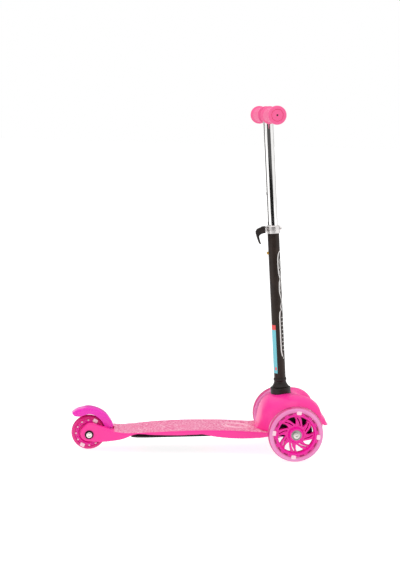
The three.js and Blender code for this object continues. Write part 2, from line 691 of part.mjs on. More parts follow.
function rearWasher(side) {
  const [near, far] = [FORK_HALF + GAP, FORK_HALF + GAP + 1.5].map((y) => y * side);
  const { x, z } = REAR_AXLE;
  return cut(
    bar("y", 9.4, Math.min(near, far), Math.max(near, far), x, z, 20),
    bar("y", BOLT_R + GAP, -40, 40, x, z, 16),
  );
}

place(scooter, "rear_axle_bolt", rearBolt(), FINISH.chrome);
place(scooter, "rear_axle_nut", rearNut(), FINISH.steel);
place(scooter, "left_rear_washer", rearWasher(1), FINISH.black);
place(scooter, "right_rear_washer", rearWasher(-1), FINISH.black);

// ---------------------------------------------------------------- brake fender
/** A curved channel over the rear wheel, kicked up at its tail, with two hinge knuckles. */
function brakeFender() {
  const { pinX, pinZ, half, wall } = FENDER;
  const outer = [
    [-187.5, 54.5], [-193, 65.5], [-203.5, 79.5], [-217, 88.6], [-232, 93.6], [-245, 95],
    [-258, 92.2], [-269, 88.8], [-278.6, 81],
  ];
  const flangeEdge = [
    [-273.5, 75.4], [-266, 74.6], [-259, 76.6], [-250, 82], [-240, 84.6], [-229, 82],
    [-218, 74.4], [-212, 67.5], [-207, 58.5], [-205, 51],
  ];
  const block = acrossY([...outer, ...flangeEdge], -half, half);
  const under = [
    [-183, 40], [-190.2, 55], [-195.5, 66], [-205.4, 77.9], [-218.2, 86.2], [-232.6, 91],
    [-245.4, 92.4], [-257.4, 89.8], [-267.6, 86.3], [-272, 84], [-276, 60],
  ];
  const channel = acrossY(under, -half + wall, half - wall);
  const barrel = (y0, y1) => bar("y", 4.4, y0, y1, pinX, pinZ, 16);
  const hinge = join(cut(block, channel), barrel(-half, -5), barrel(5, half));
  const web = (y0, y1) => box(-196.5, -192, y0, y1, pinZ, 59);
  const full = join(hinge, web(-half, -5), web(5, half));
  return cut(full, bar("y", 1.8 + GAP, -40, 40, pinX, pinZ, 12));
}

const fenderPin = bar("y", 1.8, -23.5, 23.5, FENDER.pinX, FENDER.pinZ, 12);

/** A torsion spring of three turns around the hinge pin. */
function fenderSpring() {
  const turns = 3;
  const perTurn = 10;
  const points = Array.from({ length: turns * perTurn + 1 }, (_, i) => {
    const angle = (2 * Math.PI * i) / perTurn;
    const y = -3.6 + (7.2 * i) / (turns * perTurn);
    return new THREE.Vector3(3.1 * Math.cos(angle), y, 3.1 * Math.sin(angle));
  });
  const section = new THREE.Shape(arc(0, 0, 0.6, 0, 300, 5).map(([a, b]) => at2(a, b)));
  const wire = new THREE.ExtrudeGeometry(section, {
    steps: turns * perTurn,
    extrudePath: new THREE.CatmullRomCurve3(points),
  });
  return solid(wire).translate([FENDER.pinX, 0, FENDER.pinZ]);
}

place(scooter, "brake_fender", brakeFender(), FINISH.fender);
place(scooter, "fender_pin", fenderPin, FINISH.steel);
place(scooter, "fender_spring", fenderSpring(), FINISH.steel);

export default scooter;
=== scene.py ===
# %% [markdown]
# # A child's three-wheel kick scooter
#
# The measured parts come in as a frame of plain solids, each already riding on the body that it
# moves with. This lesson gives them their looks. Parts that only need a finish keep their shape,
# and parts with curves too fine for a plain solid are modelled again in the same place.

# %% Load the frame
import json
from math import asin, cos, degrees, pi, radians, sin, sqrt, tau

import bmesh
import bpy
from mathutils import Matrix, Vector


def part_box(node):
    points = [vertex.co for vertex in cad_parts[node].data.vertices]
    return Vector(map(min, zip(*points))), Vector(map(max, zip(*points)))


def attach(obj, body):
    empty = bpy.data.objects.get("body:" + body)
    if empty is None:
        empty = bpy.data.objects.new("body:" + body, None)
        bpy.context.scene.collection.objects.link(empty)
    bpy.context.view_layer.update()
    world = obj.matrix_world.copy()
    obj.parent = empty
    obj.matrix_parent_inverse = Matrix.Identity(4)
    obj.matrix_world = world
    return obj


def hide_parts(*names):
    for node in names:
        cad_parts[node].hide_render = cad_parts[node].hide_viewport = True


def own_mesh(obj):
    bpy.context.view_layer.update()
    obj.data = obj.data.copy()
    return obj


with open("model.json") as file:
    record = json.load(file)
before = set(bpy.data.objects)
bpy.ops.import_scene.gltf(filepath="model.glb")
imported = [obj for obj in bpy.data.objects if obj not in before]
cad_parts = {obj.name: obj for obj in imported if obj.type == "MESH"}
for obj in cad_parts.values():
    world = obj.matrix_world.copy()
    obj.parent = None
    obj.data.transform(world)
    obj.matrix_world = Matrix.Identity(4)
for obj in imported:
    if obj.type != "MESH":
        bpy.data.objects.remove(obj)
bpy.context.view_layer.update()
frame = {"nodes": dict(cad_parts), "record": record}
nodes = frame["nodes"]
print("parts in the frame:", len(nodes))

# %% [markdown]
# ## Where things are
#
# Blender works in metres, but a scooter is easier to think of in millimetres. Every shape below is
# drawn in millimetres around a handy origin, and a matrix carries it to its place. The places come
# from the frame: a wheel turns about the middle of its tyre's box, and the stem leans along the
# direction in which the handlebar slides.

# %% Places from the frame
MM = 0.001


def middle(node):
    """The middle of a frame part's box, in metres."""
    low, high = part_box(node)
    return (low + high) / 2


def joint(name):
    """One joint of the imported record."""
    return next(j for j in frame["record"]["behaviour"]["joints"] if j["name"] == name)


TUBE_FOOT = -51  # the black tube's lower end, along the stem from the cone
TUBE_TOP = 348
lean = asin(-joint("handlebar_height")["axis"][0])
stem = (
    Matrix.Translation(middle("outer_tube"))
    @ Matrix.Rotation(-lean, 4, "Y")
    @ Matrix.Translation((0, 0, -MM * (TUBE_FOOT + TUBE_TOP) / 2))
)
FACE_RIGHT = Matrix.Rotation(pi / 2, 4, "X")
FACE_LEFT = Matrix.Rotation(pi, 4, "Z") @ FACE_RIGHT
print(f"the stem leans {degrees(lean):.1f} degrees")

# %% [markdown]
# ## Drawing outlines
#
# Nothing moulded has a perfectly sharp corner, because a sharp corner tears out of its mould. Two
# helpers take care of that. One rounds each corner of an outline, and the other runs a smooth curve
# through a few points, which is how the long lines of the deck and the fenders are drawn.

# %% Outline helpers
def rounded(outline, reach, steps=4):
    """The closed outline with each corner replaced by a short curve that starts reach before it."""
    smooth = []
    for i, point in enumerate(outline):
        corner = Vector(point)
        before = Vector(outline[i - 1]) - corner
        after = Vector(outline[(i + 1) % len(outline)]) - corner
        start = corner + before.normalized() * min(reach, before.length * 0.48)
        end = corner + after.normalized() * min(reach, after.length * 0.48)
        for step in range(steps + 1):
            t = step / steps
            smooth.append(start * (1 - t) ** 2 + corner * 2 * t * (1 - t) + end * t * t)
    return [tuple(p) for p in smooth]


def through(points, steps=6):
    """A smooth open curve through the points."""
    first, last = Vector(points[0]), Vector(points[-1])
    knots = [first * 2 - Vector(points[1])] + [Vector(p) for p in points] + [last * 2 - Vector(points[-2])]
    curve = []
    for a, b, c, d in zip(knots, knots[1:], knots[2:], knots[3:]):
        for step in range(steps):
            t = step / steps
            curve.append((b * 2 + (c - a) * t + (a * 2 - b * 5 + c * 4 - d) * t * t
                          + (b * 3 - a - c * 3 + d) * t ** 3) / 2)
    return [tuple(p) for p in curve] + [tuple(last)]


def arc(x, y, radius, start, end, steps=24):
    """Points on an arc, with the angles in degrees."""
    turns = [radians(start + (end - start) * i / steps) for i in range(steps + 1)]
    return [(x + radius * cos(t), y + radius * sin(t)) for t in turns]


def circle(radius, steps=96):
    return arc(0, 0, radius, 0, 360 - 360 / steps, steps - 1)


def mixed(a, b, part):
    """A number or tuple that is the given part of the way from a to b."""
    return tuple(p + (q - p) * part for p, q in zip(a, b))


print("outline helpers ready")

# %% [markdown]
# ## Drawing solids
#
# Four kinds of solid make nearly the whole scooter. Wheels, tubes and grips are turned like wood on
# a lathe. Hubs and levers are plates with holes, which Blender's flat curves fill and bevel by
# themselves. Ribs and wires follow a path. Shells are skins over a row of sections. Each helper
# gives back points and faces, so that several can be joined into one piece.

# %% Turned, flat, drawn and lofted shapes
def turned(profile, steps=96):
    """A closed profile of (radius, height) points turned around the Z axis."""
    count = len(profile)
    points = []
    for turn in range(steps):
        angle = tau * turn / steps
        points += [(r * cos(angle), r * sin(angle), height) for r, height in profile]
    faces = []
    for turn in range(steps):
        here, there = turn * count, (turn + 1) % steps * count
        for i in range(count):
            j = (i + 1) % count
            faces.append((here + i, there + i, there + j, here + j))
    return points, faces


def from_curve(curve):
    """The points and faces of a curve, in millimetres."""
    holder = bpy.data.objects.new("holder", curve)
    bpy.context.scene.collection.objects.link(holder)
    mesh = bpy.data.meshes.new_from_object(holder.evaluated_get(bpy.context.evaluated_depsgraph_get()))
    shape = [tuple(v.co) for v in mesh.vertices], [tuple(p.vertices) for p in mesh.polygons]
    bpy.data.objects.remove(holder)
    bpy.data.meshes.remove(mesh)
    return shape


def add_spline(curve, path, closed):
    spline = curve.splines.new("POLY")
    spline.points.add(len(path) - 1)
    for point, place in zip(spline.points, path):
        point.co = (*Vector(place).to_3d(), 1)
    spline.use_cyclic_u = closed


def plate(outlines, half, edge=0.6):
    """A flat plate centred on Z = 0. The first outline is its rim, and the others are holes."""
    curve = bpy.data.curves.new("plate", "CURVE")
    curve.dimensions = "2D"
    curve.fill_mode = "BOTH"
    curve.extrude = half - edge
    curve.bevel_depth = edge
    curve.offset = -edge
    curve.bevel_resolution = 2
    for outline in outlines:
        add_spline(curve, outline, True)
    return from_curve(curve)


def wire(path, radius, closed=False):
    """A round bar along a path."""
    curve = bpy.data.curves.new("wire", "CURVE")
    curve.dimensions = "3D"
    curve.bevel_depth = radius
    curve.bevel_resolution = 3
    curve.use_fill_caps = True
    add_spline(curve, path, closed)
    return from_curve(curve)


def lofted(sections, closed=False):
    """A skin over rows of points. Closed sections wrap round, and get a face at each end."""
    count = len(sections[0])
    points = [p for section in sections for p in section]
    faces = []
    for row in range(len(sections) - 1):
        for i in range(count if closed else count - 1):
            j = (i + 1) % count
            here, there = row * count, (row + 1) * count
            faces.append((here + i, here + j, there + j, there + i))
    if closed:
        faces.append(tuple(range(count - 1, -1, -1)))
        faces.append(tuple(range(len(points) - count, len(points))))
    return points, faces


def shifted(shape, matrix):
    """A shape carried by a matrix whose lengths are in millimetres."""
    return [tuple(matrix @ Vector(p)) for p in shape[0]], shape[1]


def along(shape, x=0, y=0, z=0):
    return shifted(shape, Matrix.Translation((x, y, z)))


def flipped(shape):
    """The same shape on the other side of its XY plane."""
    return [(x, y, -z) for x, y, z in shape[0]], shape[1]


print("solid helpers ready")

# %% [markdown]
# ## Turning a shape into a piece
#
# A piece is an object with a finish, riding on one body, and it may stand for parts of the frame.
# Points that coincide are welded, the faces are turned outwards, and edges sharper than a limit
# are marked, so that a turned rim stays crisp while its curve stays smooth.

# %% The piece helper
def add_piece(name, shapes, finish, body, stands_for=(), where=Matrix(), crease=38):
    """Makes one object from shapes in millimetres and puts it in its place."""
    points, faces = [], []
    for shape_points, shape_faces in shapes:
        start = len(points)
        points += [Vector(p) * MM for p in shape_points]
        faces += [tuple(start + i for i in face) for face in shape_faces]
    mesh = bpy.data.meshes.new(name)
    mesh.from_pydata(points, [], faces)
    mesh.transform(where)
    tidy = bmesh.new()
    tidy.from_mesh(mesh)
    bmesh.ops.remove_doubles(tidy, verts=tidy.verts, dist=1e-6)
    bmesh.ops.dissolve_degenerate(tidy, dist=1e-7, edges=tidy.edges)
    bmesh.ops.recalc_face_normals(tidy, faces=tidy.faces)
    tidy.to_mesh(mesh)
    tidy.free()
    mesh.shade_smooth()
    mesh.set_sharp_from_angle(angle=radians(crease))
    piece = bpy.data.objects.new(name, mesh)
    bpy.context.scene.collection.objects.link(piece)
    if finish:
        mesh.materials.append(finish.material)
    if body:
        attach(piece, body)
    if stands_for:
        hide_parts(*stands_for)
    print(f"{name}: {len(mesh.polygons)} faces")
    return piece


def settle(piece):
    """Makes the result of a piece's modifiers its own mesh."""
    shown = piece.evaluated_get(bpy.context.evaluated_depsgraph_get())
    mesh = bpy.data.meshes.new_from_object(shown)
    piece.modifiers.clear()
    piece.data = mesh


def combine(piece, tool, operation):
    """Cuts a piece with a tool, or keeps what they share."""
    change = piece.modifiers.new("combine", "BOOLEAN")
    change.object = tool
    change.operation = operation
    change.solver = "EXACT"
    settle(piece)
    bpy.data.objects.remove(tool)


# %% [markdown]
# ## A way to write finishes
#
# A finish is a material built from nodes. Wiring nodes by hand hides what the sums are, so a wire
# takes part in Python sums here: adding two wires makes a Math node. Every other node comes from
# one method, which is given the kind of node, its settings and what goes into its sockets.

# %% Wires and finishes
class Wire:
    """The output of a node, which adds Math nodes when it is used in a sum."""

    def __init__(self, finish, socket):
        self.finish = finish
        self.socket = socket

    def sum(self, operation, left, right):
        return self.finish.add("Math", {"operation": operation}, {0: left, 1: right})

    def __add__(self, other):
        return self.sum("ADD", self, other)

    def __sub__(self, other):
        return self.sum("SUBTRACT", self, other)

    def __rsub__(self, other):
        return self.sum("SUBTRACT", other, self)

    def __mul__(self, other):
        return self.sum("MULTIPLY", self, other)

    __radd__ = __add__
    __rmul__ = __mul__


class Finish:
    """A material for one finish of the scooter, in one of the record's slots."""

    def __init__(self, name, slot, even):
        self.slot = slot
        self.material = bpy.data.materials.new(name)
        self.material.use_nodes = True
        self.tree = self.material.node_tree
        self.shader = self.tree.nodes["Principled BSDF"]
        for socket, value in even.items():
            self.shader.inputs[socket].default_value = value
        self.place = self.add("TexCoord", output="Object")

    def add(self, kind, settings=None, inputs=None, output=0):
        """Adds a node and gives back one of its outputs as a wire."""
        node = self.tree.nodes.new("ShaderNode" + kind)
        for setting, value in (settings or {}).items():
            if setting == "stops":
                self.set_stops(node.color_ramp, value)
            else:
                setattr(node, setting, value)
        for socket, value in (inputs or {}).items():
            if isinstance(value, Wire):
                self.tree.links.new(value.socket, node.inputs[socket])
            else:
                node.inputs[socket].default_value = value
        return Wire(self, node.outputs[output])

    def set_stops(self, ramp, stops):
        """Sets a colour ramp's stops, each a place and a grey from 0 to 1."""
        while len(ramp.elements) < len(stops):
            ramp.elements.new(1)
        for element, (place, grey) in zip(ramp.elements, stops):
            element.position = place
            element.color = (grey, grey, grey, 1)

    def noise(self, scale, detail=3, place=None):
        """Cloudy noise from 0 to 1, with scale in patches per metre."""
        inputs = {"Vector": place or self.place, "Scale": scale, "Detail": detail}
        return self.add("TexNoise", {}, inputs)

    def stretched(self, x, y, z):
        """Places squeezed along each axis, for grain that runs one way."""
        return self.add("VectorMath", {"operation": "MULTIPLY"}, {0: self.place, 1: (x, y, z)})

    def ramp(self, value, stops):
        return self.add("ValToRGB", {"stops": stops}, {0: value})

    def mix(self, part, first, second):
        """A colour between two colours."""
        return self.add("Mix", {"data_type": "RGBA"}, {0: part, 6: first, 7: second}, output=2)

    def use(self, **wires):
        """Wires what varies to the shader. Base_Color means the socket Base Color."""
        for socket, wire_in in wires.items():
            self.tree.links.new(wire_in.socket, self.shader.inputs[socket.replace("_", " ")])

    def relief(self, height, strength, depth):
        """Raises the surface by a height from 0 to 1, over a depth in millimetres."""
        inputs = {"Height": height, "Strength": strength, "Distance": depth * MM}
        self.use(Normal=self.add("Bump", {}, inputs))


def colour(red, green, blue):
    """A colour from 0 to 255 as the light values that a shader needs."""
    light = [c / 255 for c in (red, green, blue)]
    return (*(c / 12.92 if c < 0.0404 else ((c + 0.055) / 1.055) ** 2.4 for c in light), 1)


print("finish helpers ready")

# %% [markdown]
# ## Pink plastics
#
# The deck and the fender hood over the front wheels are one pink plastic, moulded glossy. Moulded
# plastic is never quite even: it has slow drifts in tone, a faint orange peel that softens its
# reflections, and fine rubbing marks that show only in the gloss.

# %% Smooth pink shell
def moulded(name, slot, light, dark, gloss, even=None):
    """A smooth moulded plastic between two close tones."""
    finish = Finish(name, slot, {"Specular IOR Level": 0.45, **(even or {})})
    drift = finish.noise(9)
    rubbing = finish.noise(1, 4, finish.stretched(900, 160, 300))
    peel = finish.noise(700, 2)
    finish.use(
        Base_Color=finish.mix(drift, light, dark),
        Roughness=rubbing * 0.16 + drift * 0.06 + (gloss - 0.1),
    )
    finish.relief(peel, 0.12, 0.25)
    return finish


shell_pink = moulded("shell_pink", "pink_shell", colour(255, 48, 158), colour(250, 40, 150), 0.34)
oval_pink = moulded("oval_pink", "pink_shell", colour(255, 212, 226), colour(255, 196, 216), 0.4)
hub_pink = moulded("hub_pink", "pink_hub", colour(246, 26, 166), colour(236, 16, 154), 0.25)

# %% [markdown]
# ## The deck's grip surface
#
# The top of the deck is roughened in the mould, so that a shoe doesn't slip. Thousands of small
# pimples catch the light, and pale specks painted into the colour stand for these glints, which makes
# the same plastic look paler and a little sandy.

# %% Rough pink top
def sandy_top():
    finish = Finish("grip_top", "pink_shell", {"Roughness": 0.62})
    pimples = finish.add("TexVoronoi", {}, {"Vector": finish.place, "Scale": 640.0})
    # Pale specks painted into the colour as glints of light off the pimples.
    painted_glints = finish.ramp(finish.noise(260, 4), [(0.42, 0), (0.66, 1)])
    worn = finish.ramp(finish.noise(26, 4), [(0.4, 0), (0.7, 1)])
    sandy = finish.mix(painted_glints, colour(228, 92, 148), colour(255, 196, 216))
    finish.use(Base_Color=finish.mix(worn * 0.35, sandy, colour(244, 92, 150)))
    finish.relief(1 - pimples, 0.6, 0.5)
    return finish


grip_top = sandy_top()

# %% [markdown]
# ## Clear pink parts
#
# The tyres are cast from clear tinted polyurethane, and the brake fender is moulded from clear
# tinted plastic. A part of the light passes through them, so lamps and rim shine through.

# %% Clear tyre and fender
def clear_tinted(name, slot, light, dark, clearness, gloss, axle=None, light_and_shade_bands=None):
    """Clear plastic between two tints. Bands by distance from an axle paint a pale highlight ring, shade at
    the outer edge and a deeper tint near the rim.
    """
    even = {"Transmission Weight": clearness, "IOR": 1.42, "Specular IOR Level": 0.35}
    finish = Finish(name, slot, even)
    flow = finish.noise(22, 3)
    scuffs = finish.ramp(finish.noise(240, 4), [(0.48, 0), (0.72, 1)])
    tint = finish.mix(flow, light, dark)
    # Painted light and shade: a pale highlight ring over the shoulder, a dark painted shade at the outer
    # edge.
    if light_and_shade_bands:
        flat = finish.add("VectorMath", {"operation": "MULTIPLY"}, {0: finish.place, 1: (1, 0, 1)})
        centre = (axle.x, 0, axle.z)
        reach = finish.add("VectorMath", {"operation": "DISTANCE"}, {0: flat, 1: centre}, output=1)
        # This deep colour paints the shade at the outer edge, and deepens the tint near the rim.
        deep_tint_and_shade = colour(224, 20, 122)
        tint = finish.mix(finish.ramp(reach * (1 / axle.z), light_and_shade_bands), tint, deep_tint_and_shade)
    finish.use(Base_Color=tint, Roughness=scuffs * 0.14 + gloss)
    finish.relief(finish.noise(420, 2), 0.08, 0.3)
    return finish


# The last list of each tyre gives its bands: the low band is a painted highlight ring, the high outer one
# painted shade.
clear_tyre = clear_tinted(
    "clear_tyre", "clear_pink_tyre", colour(255, 176, 228), colour(255, 138, 206), 0.22, 0.1,
    middle("right_front_tyre"), [(0.8, 0.5), (0.88, 0.05), (0.95, 0.0), (0.985, 0.9)],
)
rear_tyre = clear_tinted(
    "rear_tyre", "clear_pink_tyre", colour(252, 76, 168), colour(244, 34, 138), 0.22, 0.12,
    middle("rear_tyre"), [(0.74, 0.8), (0.9, 0.3), (0.96, 0.1), (0.99, 0.7)],
)
clear_fender = clear_tinted(
    "clear_fender", "clear_pink_fender", colour(255, 66, 206), colour(248, 48, 192), 0.15, 0.16,
)

# %% [markdown]
# ## Foam grips, black parts and rubber
#
# The grips are soft foam rubber with a fine skin. The stem's ring and cone, the lever and the parts
# under the hood are satin black plastic. The lower tube is powder coated, which leaves a very fine
# pebbled skin over the steel.

# %% Soft and black finishes
def foam_rubber():
    finish = Finish("foam_rubber", "pink_grip", {"Sheen Weight": 0.25, "Sheen Roughness": 0.5})
    cells = finish.noise(900, 2)
    drift = finish.noise(30)
    finish.use(
        Base_Color=finish.mix(drift * 0.6 + cells * 0.3, colour(248, 98, 156), colour(236, 72, 136)),
        Roughness=cells * 0.2 + 0.5,
    )
    finish.relief(cells, 0.35, 0.35)
    return finish


def dark_skin(name, slot, light, dark, gloss, grain, depth, even=None):
    """A black finish with a fine grain."""
    finish = Finish(name, slot, even or {})
    pebbles = finish.noise(grain, 2)
    dust = finish.ramp(finish.noise(60, 4), [(0.45, 0), (0.8, 1)])
    finish.use(
        Base_Color=finish.mix(dust * 0.6 + pebbles * 0.2, dark, light),
        Roughness=pebbles * 0.15 + dust * 0.1 + gloss,
    )
    finish.relief(pebbles, 0.3, depth)
    return finish


foam = foam_rubber()
black_plastic = dark_skin(
    "black_plastic", "black_plastic", colour(52, 40, 37), colour(24, 17, 15), 0.34, 800, 0.2,
    {"Specular IOR Level": 0.3},
)
black_paint = dark_skin(
    "black_paint", "black_paint", colour(54, 38, 30), colour(32, 20, 14), 0.34, 1500, 0.08,
    {"Specular IOR Level": 0.25, "Coat Weight": 0.06, "Coat Roughness": 0.25},
)
# Near-black for the washer rings, and for the screens that paint shade behind the front hubs.
deep_black = dark_skin(
    "deep_black", "black_plastic", colour(22, 17, 17), colour(8, 6, 6), 0.4, 800, 0.1,
    {"Specular IOR Level": 0.15},
)
rubber = dark_skin("rubber", "bumper_rubber", colour(52, 50, 50), colour(28, 26, 26), 0.65, 500, 0.4)

# %% [markdown]
# ## Metals
#
# The sliding tube and the crossbar are chromed, the fasteners are zinc plated, and the collar is
# polished aluminium. What makes metal look real is less its colour than the marks in its gloss:
# fingerprints on the chrome, and fine lines left by the machining on the rest.

# %% Metal finishes
def metal(name, slot, light, dark, gloss, grain, marks):
    """A bare metal with machining lines across its Y axis, and smudges."""
    finish = Finish(name, slot, {"Metallic": 1.0})
    lines = finish.noise(1, 2, finish.stretched(grain, grain * 0.04, grain))
    smudges = finish.ramp(finish.noise(40, 4), [(0.42, 0), (0.72, 1)])
    finish.use(
        Base_Color=finish.mix(smudges * 0.5 + lines * 0.3, light, dark),
        Roughness=lines * marks + smudges * marks + gloss,
    )
    finish.relief(lines, marks, 0.05)
    return finish


chrome = metal("chrome", "chrome_tube", colour(247, 246, 245), colour(228, 226, 224), 0.04, 300, 0.05)
bright_steel = metal(
    "bright_steel", "bright_steel", colour(236, 233, 232), colour(205, 200, 198), 0.18, 900, 0.12)
bolt_chrome = metal(
    "bolt_chrome", "bolt_chrome", colour(236, 232, 228), colour(186, 181, 176), 0.16, 700, 0.1)
bearing_steel = metal(
    "bearing_steel", "bearing_steel", colour(190, 190, 186), colour(130, 128, 122), 0.22, 900, 0.12)
brass = metal("brass", "brass_button", colour(208, 168, 96), colour(168, 126, 62), 0.24, 900, 0.1)

# %% [markdown]
# ## Small colours
#
# The lamps in the wheels are milky blocks around a coil. Dark magenta blocks in the front rim's slots
# are painted shade, and the same milky blocks in the rear rim's slots are painted highlights. The tube
# carries a pale blue label and a silver line pattern, both printed.

# %% Lamps, rim slots and prints
def printed(name, slot, light, dark, gloss=0.4):
    """A thin even colour with a faint unevenness of the print."""
    finish = Finish(name, slot, {})
    mottle = finish.noise(350, 3)
    finish.use(Base_Color=finish.mix(mottle, light, dark), Roughness=mottle * 0.1 + gloss)
    finish.relief(mottle, 0.1, 0.05)
    return finish


# Milky lamp blocks. The same finish paints highlights on the blocks in the rear rim's slots.
lamp_and_glint_milk = printed("lamp_and_glint_milk", "led_white", colour(254, 226, 236), colour(244, 190, 210), 0.25)
# Dark magenta painted shade for the blocks in the front rim's slots.
slot_shade_paint = printed("slot_shade_paint", "pink_hub", colour(160, 8, 84), colour(126, 4, 62), 0.3)
label_blue = printed("label_blue", "black_paint", colour(120, 208, 218), colour(104, 194, 206))
label_red = printed("label_red", "black_paint", colour(238, 84, 84), colour(222, 64, 70))
silver_line = printed("silver_line", "black_paint", colour(242, 240, 238), colour(224, 220, 217), 0.35)
print("finishes:", len(bpy.data.materials))

# %% [markdown]
# ## The deck
#
# The deck is a long shell with a closed top, open below, that narrows into a fork around the rear
# wheel. Its side view and its plan are two smooth outlines. Extruding both and keeping what they
# share gives the body, and a smaller pair hollows it. Remeshing the result in small voxels and
# relaxing it rounds every edge as a mould does.

# %% Deck outlines
SLOT_HALF = 15.2  # half the room for the rear wheel
DECK_WALL = 3.2
FORK_HALF = 27
rear_axle = middle("rear_tyre") / MM
deck_top = through([
    (-195, 50), (-165, 46.3), (-140, 46.6), (-96, 50), (-58, 52.2), (-20, 53.9), (10, 54.4),
    (60, 54.4), (91, 52.8), (124, 51.5), (155, 51.5),
])
deck_bottom = through([
    (155, 46), (145, 43), (129, 38.8), (107, 37), (85, 36.5), (58, 37.8), (30, 40.8), (4, 46),
]) + through([
    (-50, 43.4), (-105, 43.8), (-140, 44.5), (-163, 35), (-176, 30.5), (-197, 26), (-213, 22.8),
    (-225, 22),
])
fork_end = [
    (-236, 22.4), *arc(rear_axle.x - 1, rear_axle.z + 2, 17.5, 245, 130),
    *through([(-246, 61.5), (-237, 63), (-222, 58.5), (-209, 54.5)]),
]
deck_plan = through([
    (-270, FORK_HALF), (-230, FORK_HALF), (-217, 31), (-200, 38), (-178, 44), (-140, 50),
    (-95, 54), (-60, 55), (0, 55), (105, 55), (128, 58), (145, 64), (160, 69),
])


def height_at(outline, x):
    """How high an outline of (x, height) points, in order of x, is at x."""
    for (x0, z0), (x1, z1) in zip(outline, outline[1:]):
        if x0 <= x <= x1:
            return z0 + (z1 - z0) * (x - x0) / (x1 - x0)
    return outline[0][1] if x < outline[0][0] else outline[-1][1]


# %% Deck body
def side_block(outline, half):
    """A side view made solid from -half to half across the scooter."""
    return add_piece("block", [plate([outline], half, 0)], None, None, where=FACE_RIGHT)


def plan_block(half_plan):
    """A plan, given by its half widths, made solid around the deck's height."""
    outline = [*half_plan, *[(x, -y) for x, y in reversed(half_plan)]]
    return add_piece("block", [along(plate([outline], 60, 0), z=40)], None, None)


SHOULDER = [
    (-204, 30, 53, 53), (-192, 22, 49.5, 45), (-165, 22, 46.5, 43.5), (-140, 34, 46.8, 45.6),
    (-118, 44, 48.6, 47.8), (-92, 54, 50.2, 50.1),
]


def above_shoulder(side):
    """What is cut away above one rear shoulder. Each row is x, where it starts, and its two heights."""
    sections = [
        [(x, side * y, start), (x, side * 64, edge), (x, side * 64, 80), (x, side * y, 80)]
        for x, y, start, edge in SHOULDER
    ]
    return lofted(sections, closed=True)


def deck_body():
    body = side_block([*deck_bottom, *fork_end, *deck_top], 80)
    combine(body, plan_block(deck_plan), "INTERSECT")
    ceiling = [(x, z - DECK_WALL) for x, z in deck_top if -139 < x < 130]
    hollow = side_block([(-139, 0), *ceiling, (148, 48), (148, 0)], 80)
    inner_plan = [(x, y - DECK_WALL) for x, y in deck_plan]
    combine(hollow, plan_block(inner_plan), "INTERSECT")
    combine(body, hollow, "DIFFERENCE")
    for side in (1, -1):
        combine(body, add_piece("block", [above_shoulder(side)], None, None), "DIFFERENCE")
    wheel_room = [(-290, 0), (-198.5, 0), (-198.5, 43.5), (-187.5, 43.5), (-187.5, 100), (-290, 100)]
    combine(body, side_block(wheel_room, SLOT_HALF), "DIFFERENCE")
    return body


deck = deck_body()
deck.name = "deck"
remesh = deck.modifiers.new("small voxels", "REMESH")
remesh.mode = "VOXEL"
remesh.voxel_size = 1.3 * MM
relax = deck.modifiers.new("relax", "SMOOTH")
relax.factor = 0.5
relax.iterations = 7
settle(deck)
deck.data.shade_smooth()
print("deck faces:", len(deck.data.polygons))

# %% [markdown]
# The rough top stops a little short of the deck's edge, where a crease starts the smooth side. The
# faces inside that line get the rough finish, and the rest stay smooth.

# %% Deck finishes
TEXTURE_MARGIN = 5
deck.data.materials.clear()
deck.data.materials.append(shell_pink.material)
deck.data.materials.append(grip_top.material)
for face in deck.data.polygons:
    x, y, z = face.center / MM
    on_top = face.normal.z > 0.7 and z > height_at(deck_top, x) - 2
    inside = abs(y) < height_at(deck_plan, x) - TEXTURE_MARGIN and -187 < x < 152
    face.material_index = 1 if on_top and inside else 0
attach(deck, "deck")
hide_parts("deck_shell")

# %% [markdown]
# Two raised ovals are moulded into the grip surface behind the hood. They are round bars laid on
# the deck's curve and sunk most of the way in.

# %% Raised ovals
def oval(length, width, x):
    """A loop on the deck's top, around x."""
    loop = []
    for px, py in circle(1, 72):
        place = x + px * length / 2
        loop.append((place, py * width / 2, height_at(deck_top, place) - 0.1))
    return wire(loop, 1.1, closed=True)


add_piece("deck_ovals", [oval(62, 46, 84), oval(48, 32, 84)], oval_pink, "deck")

# %% [markdown]
# ## The front hood
#
# The hood that covers both front wheels is one thin dome. It rises steeply behind the stem, has a
# rounded crest over each wheel and a shallow valley between them, and runs forward into a lip. It
# is a skin over stations along the scooter. Each station is a section from one wheel arch to the
# other, so that the arch is the skin's own edge and comes out perfectly smooth.

# %% Hood stations
HOOD_WALL = 3
HOOD_FOOT = 40  # where the sections would reach if the arches were not cut
ARCH = {"x": 208, "z": 57, "r": 56}
CREST_AT = 50
hood_stations = through([
    (125, 19, 52.3, 52.3), (129, 20.5, 55.5, 55.5), (131.4, 24, 66, 66), (133.5, 30, 82, 79),
    (138, 39, 100.5, 94.5), (147, 52, 117, 108), (158, 63, 126, 117), (180, 76, 130, 128),
    (202, 82, 129, 133), (216, 82, 124, 133.5), (230, 82, 114, 131.5), (243, 80, 101, 126),
    (254, 77, 89, 117), (260, 75.5, 83, 107.5), (263, 74, 80, 100), (267.8, 72.5, 77, 92),
    (272.6, 70, 74.5, 85), (276, 67, 72.6, 77.4), (278.4, 64.5, 71.4, 73.6),
], 4)
lip = through([(258, 80), (261, 77.5), (265.4, 74.3), (270.7, 70.9), (276, 69.8), (280, 69.8)])
arch_start = ARCH["x"] - ARCH["r"]
arch_end = ARCH["x"] + 55


def rim_height(x):
    """The height of the hood's lower edge at x."""
    if x < arch_start:
        return 51.8
    if x > arch_end:
        return height_at(lip, x)
    return max(51.8, ARCH["z"] + sqrt(max(0, ARCH["r"] ** 2 - (x - ARCH["x"]) ** 2)))


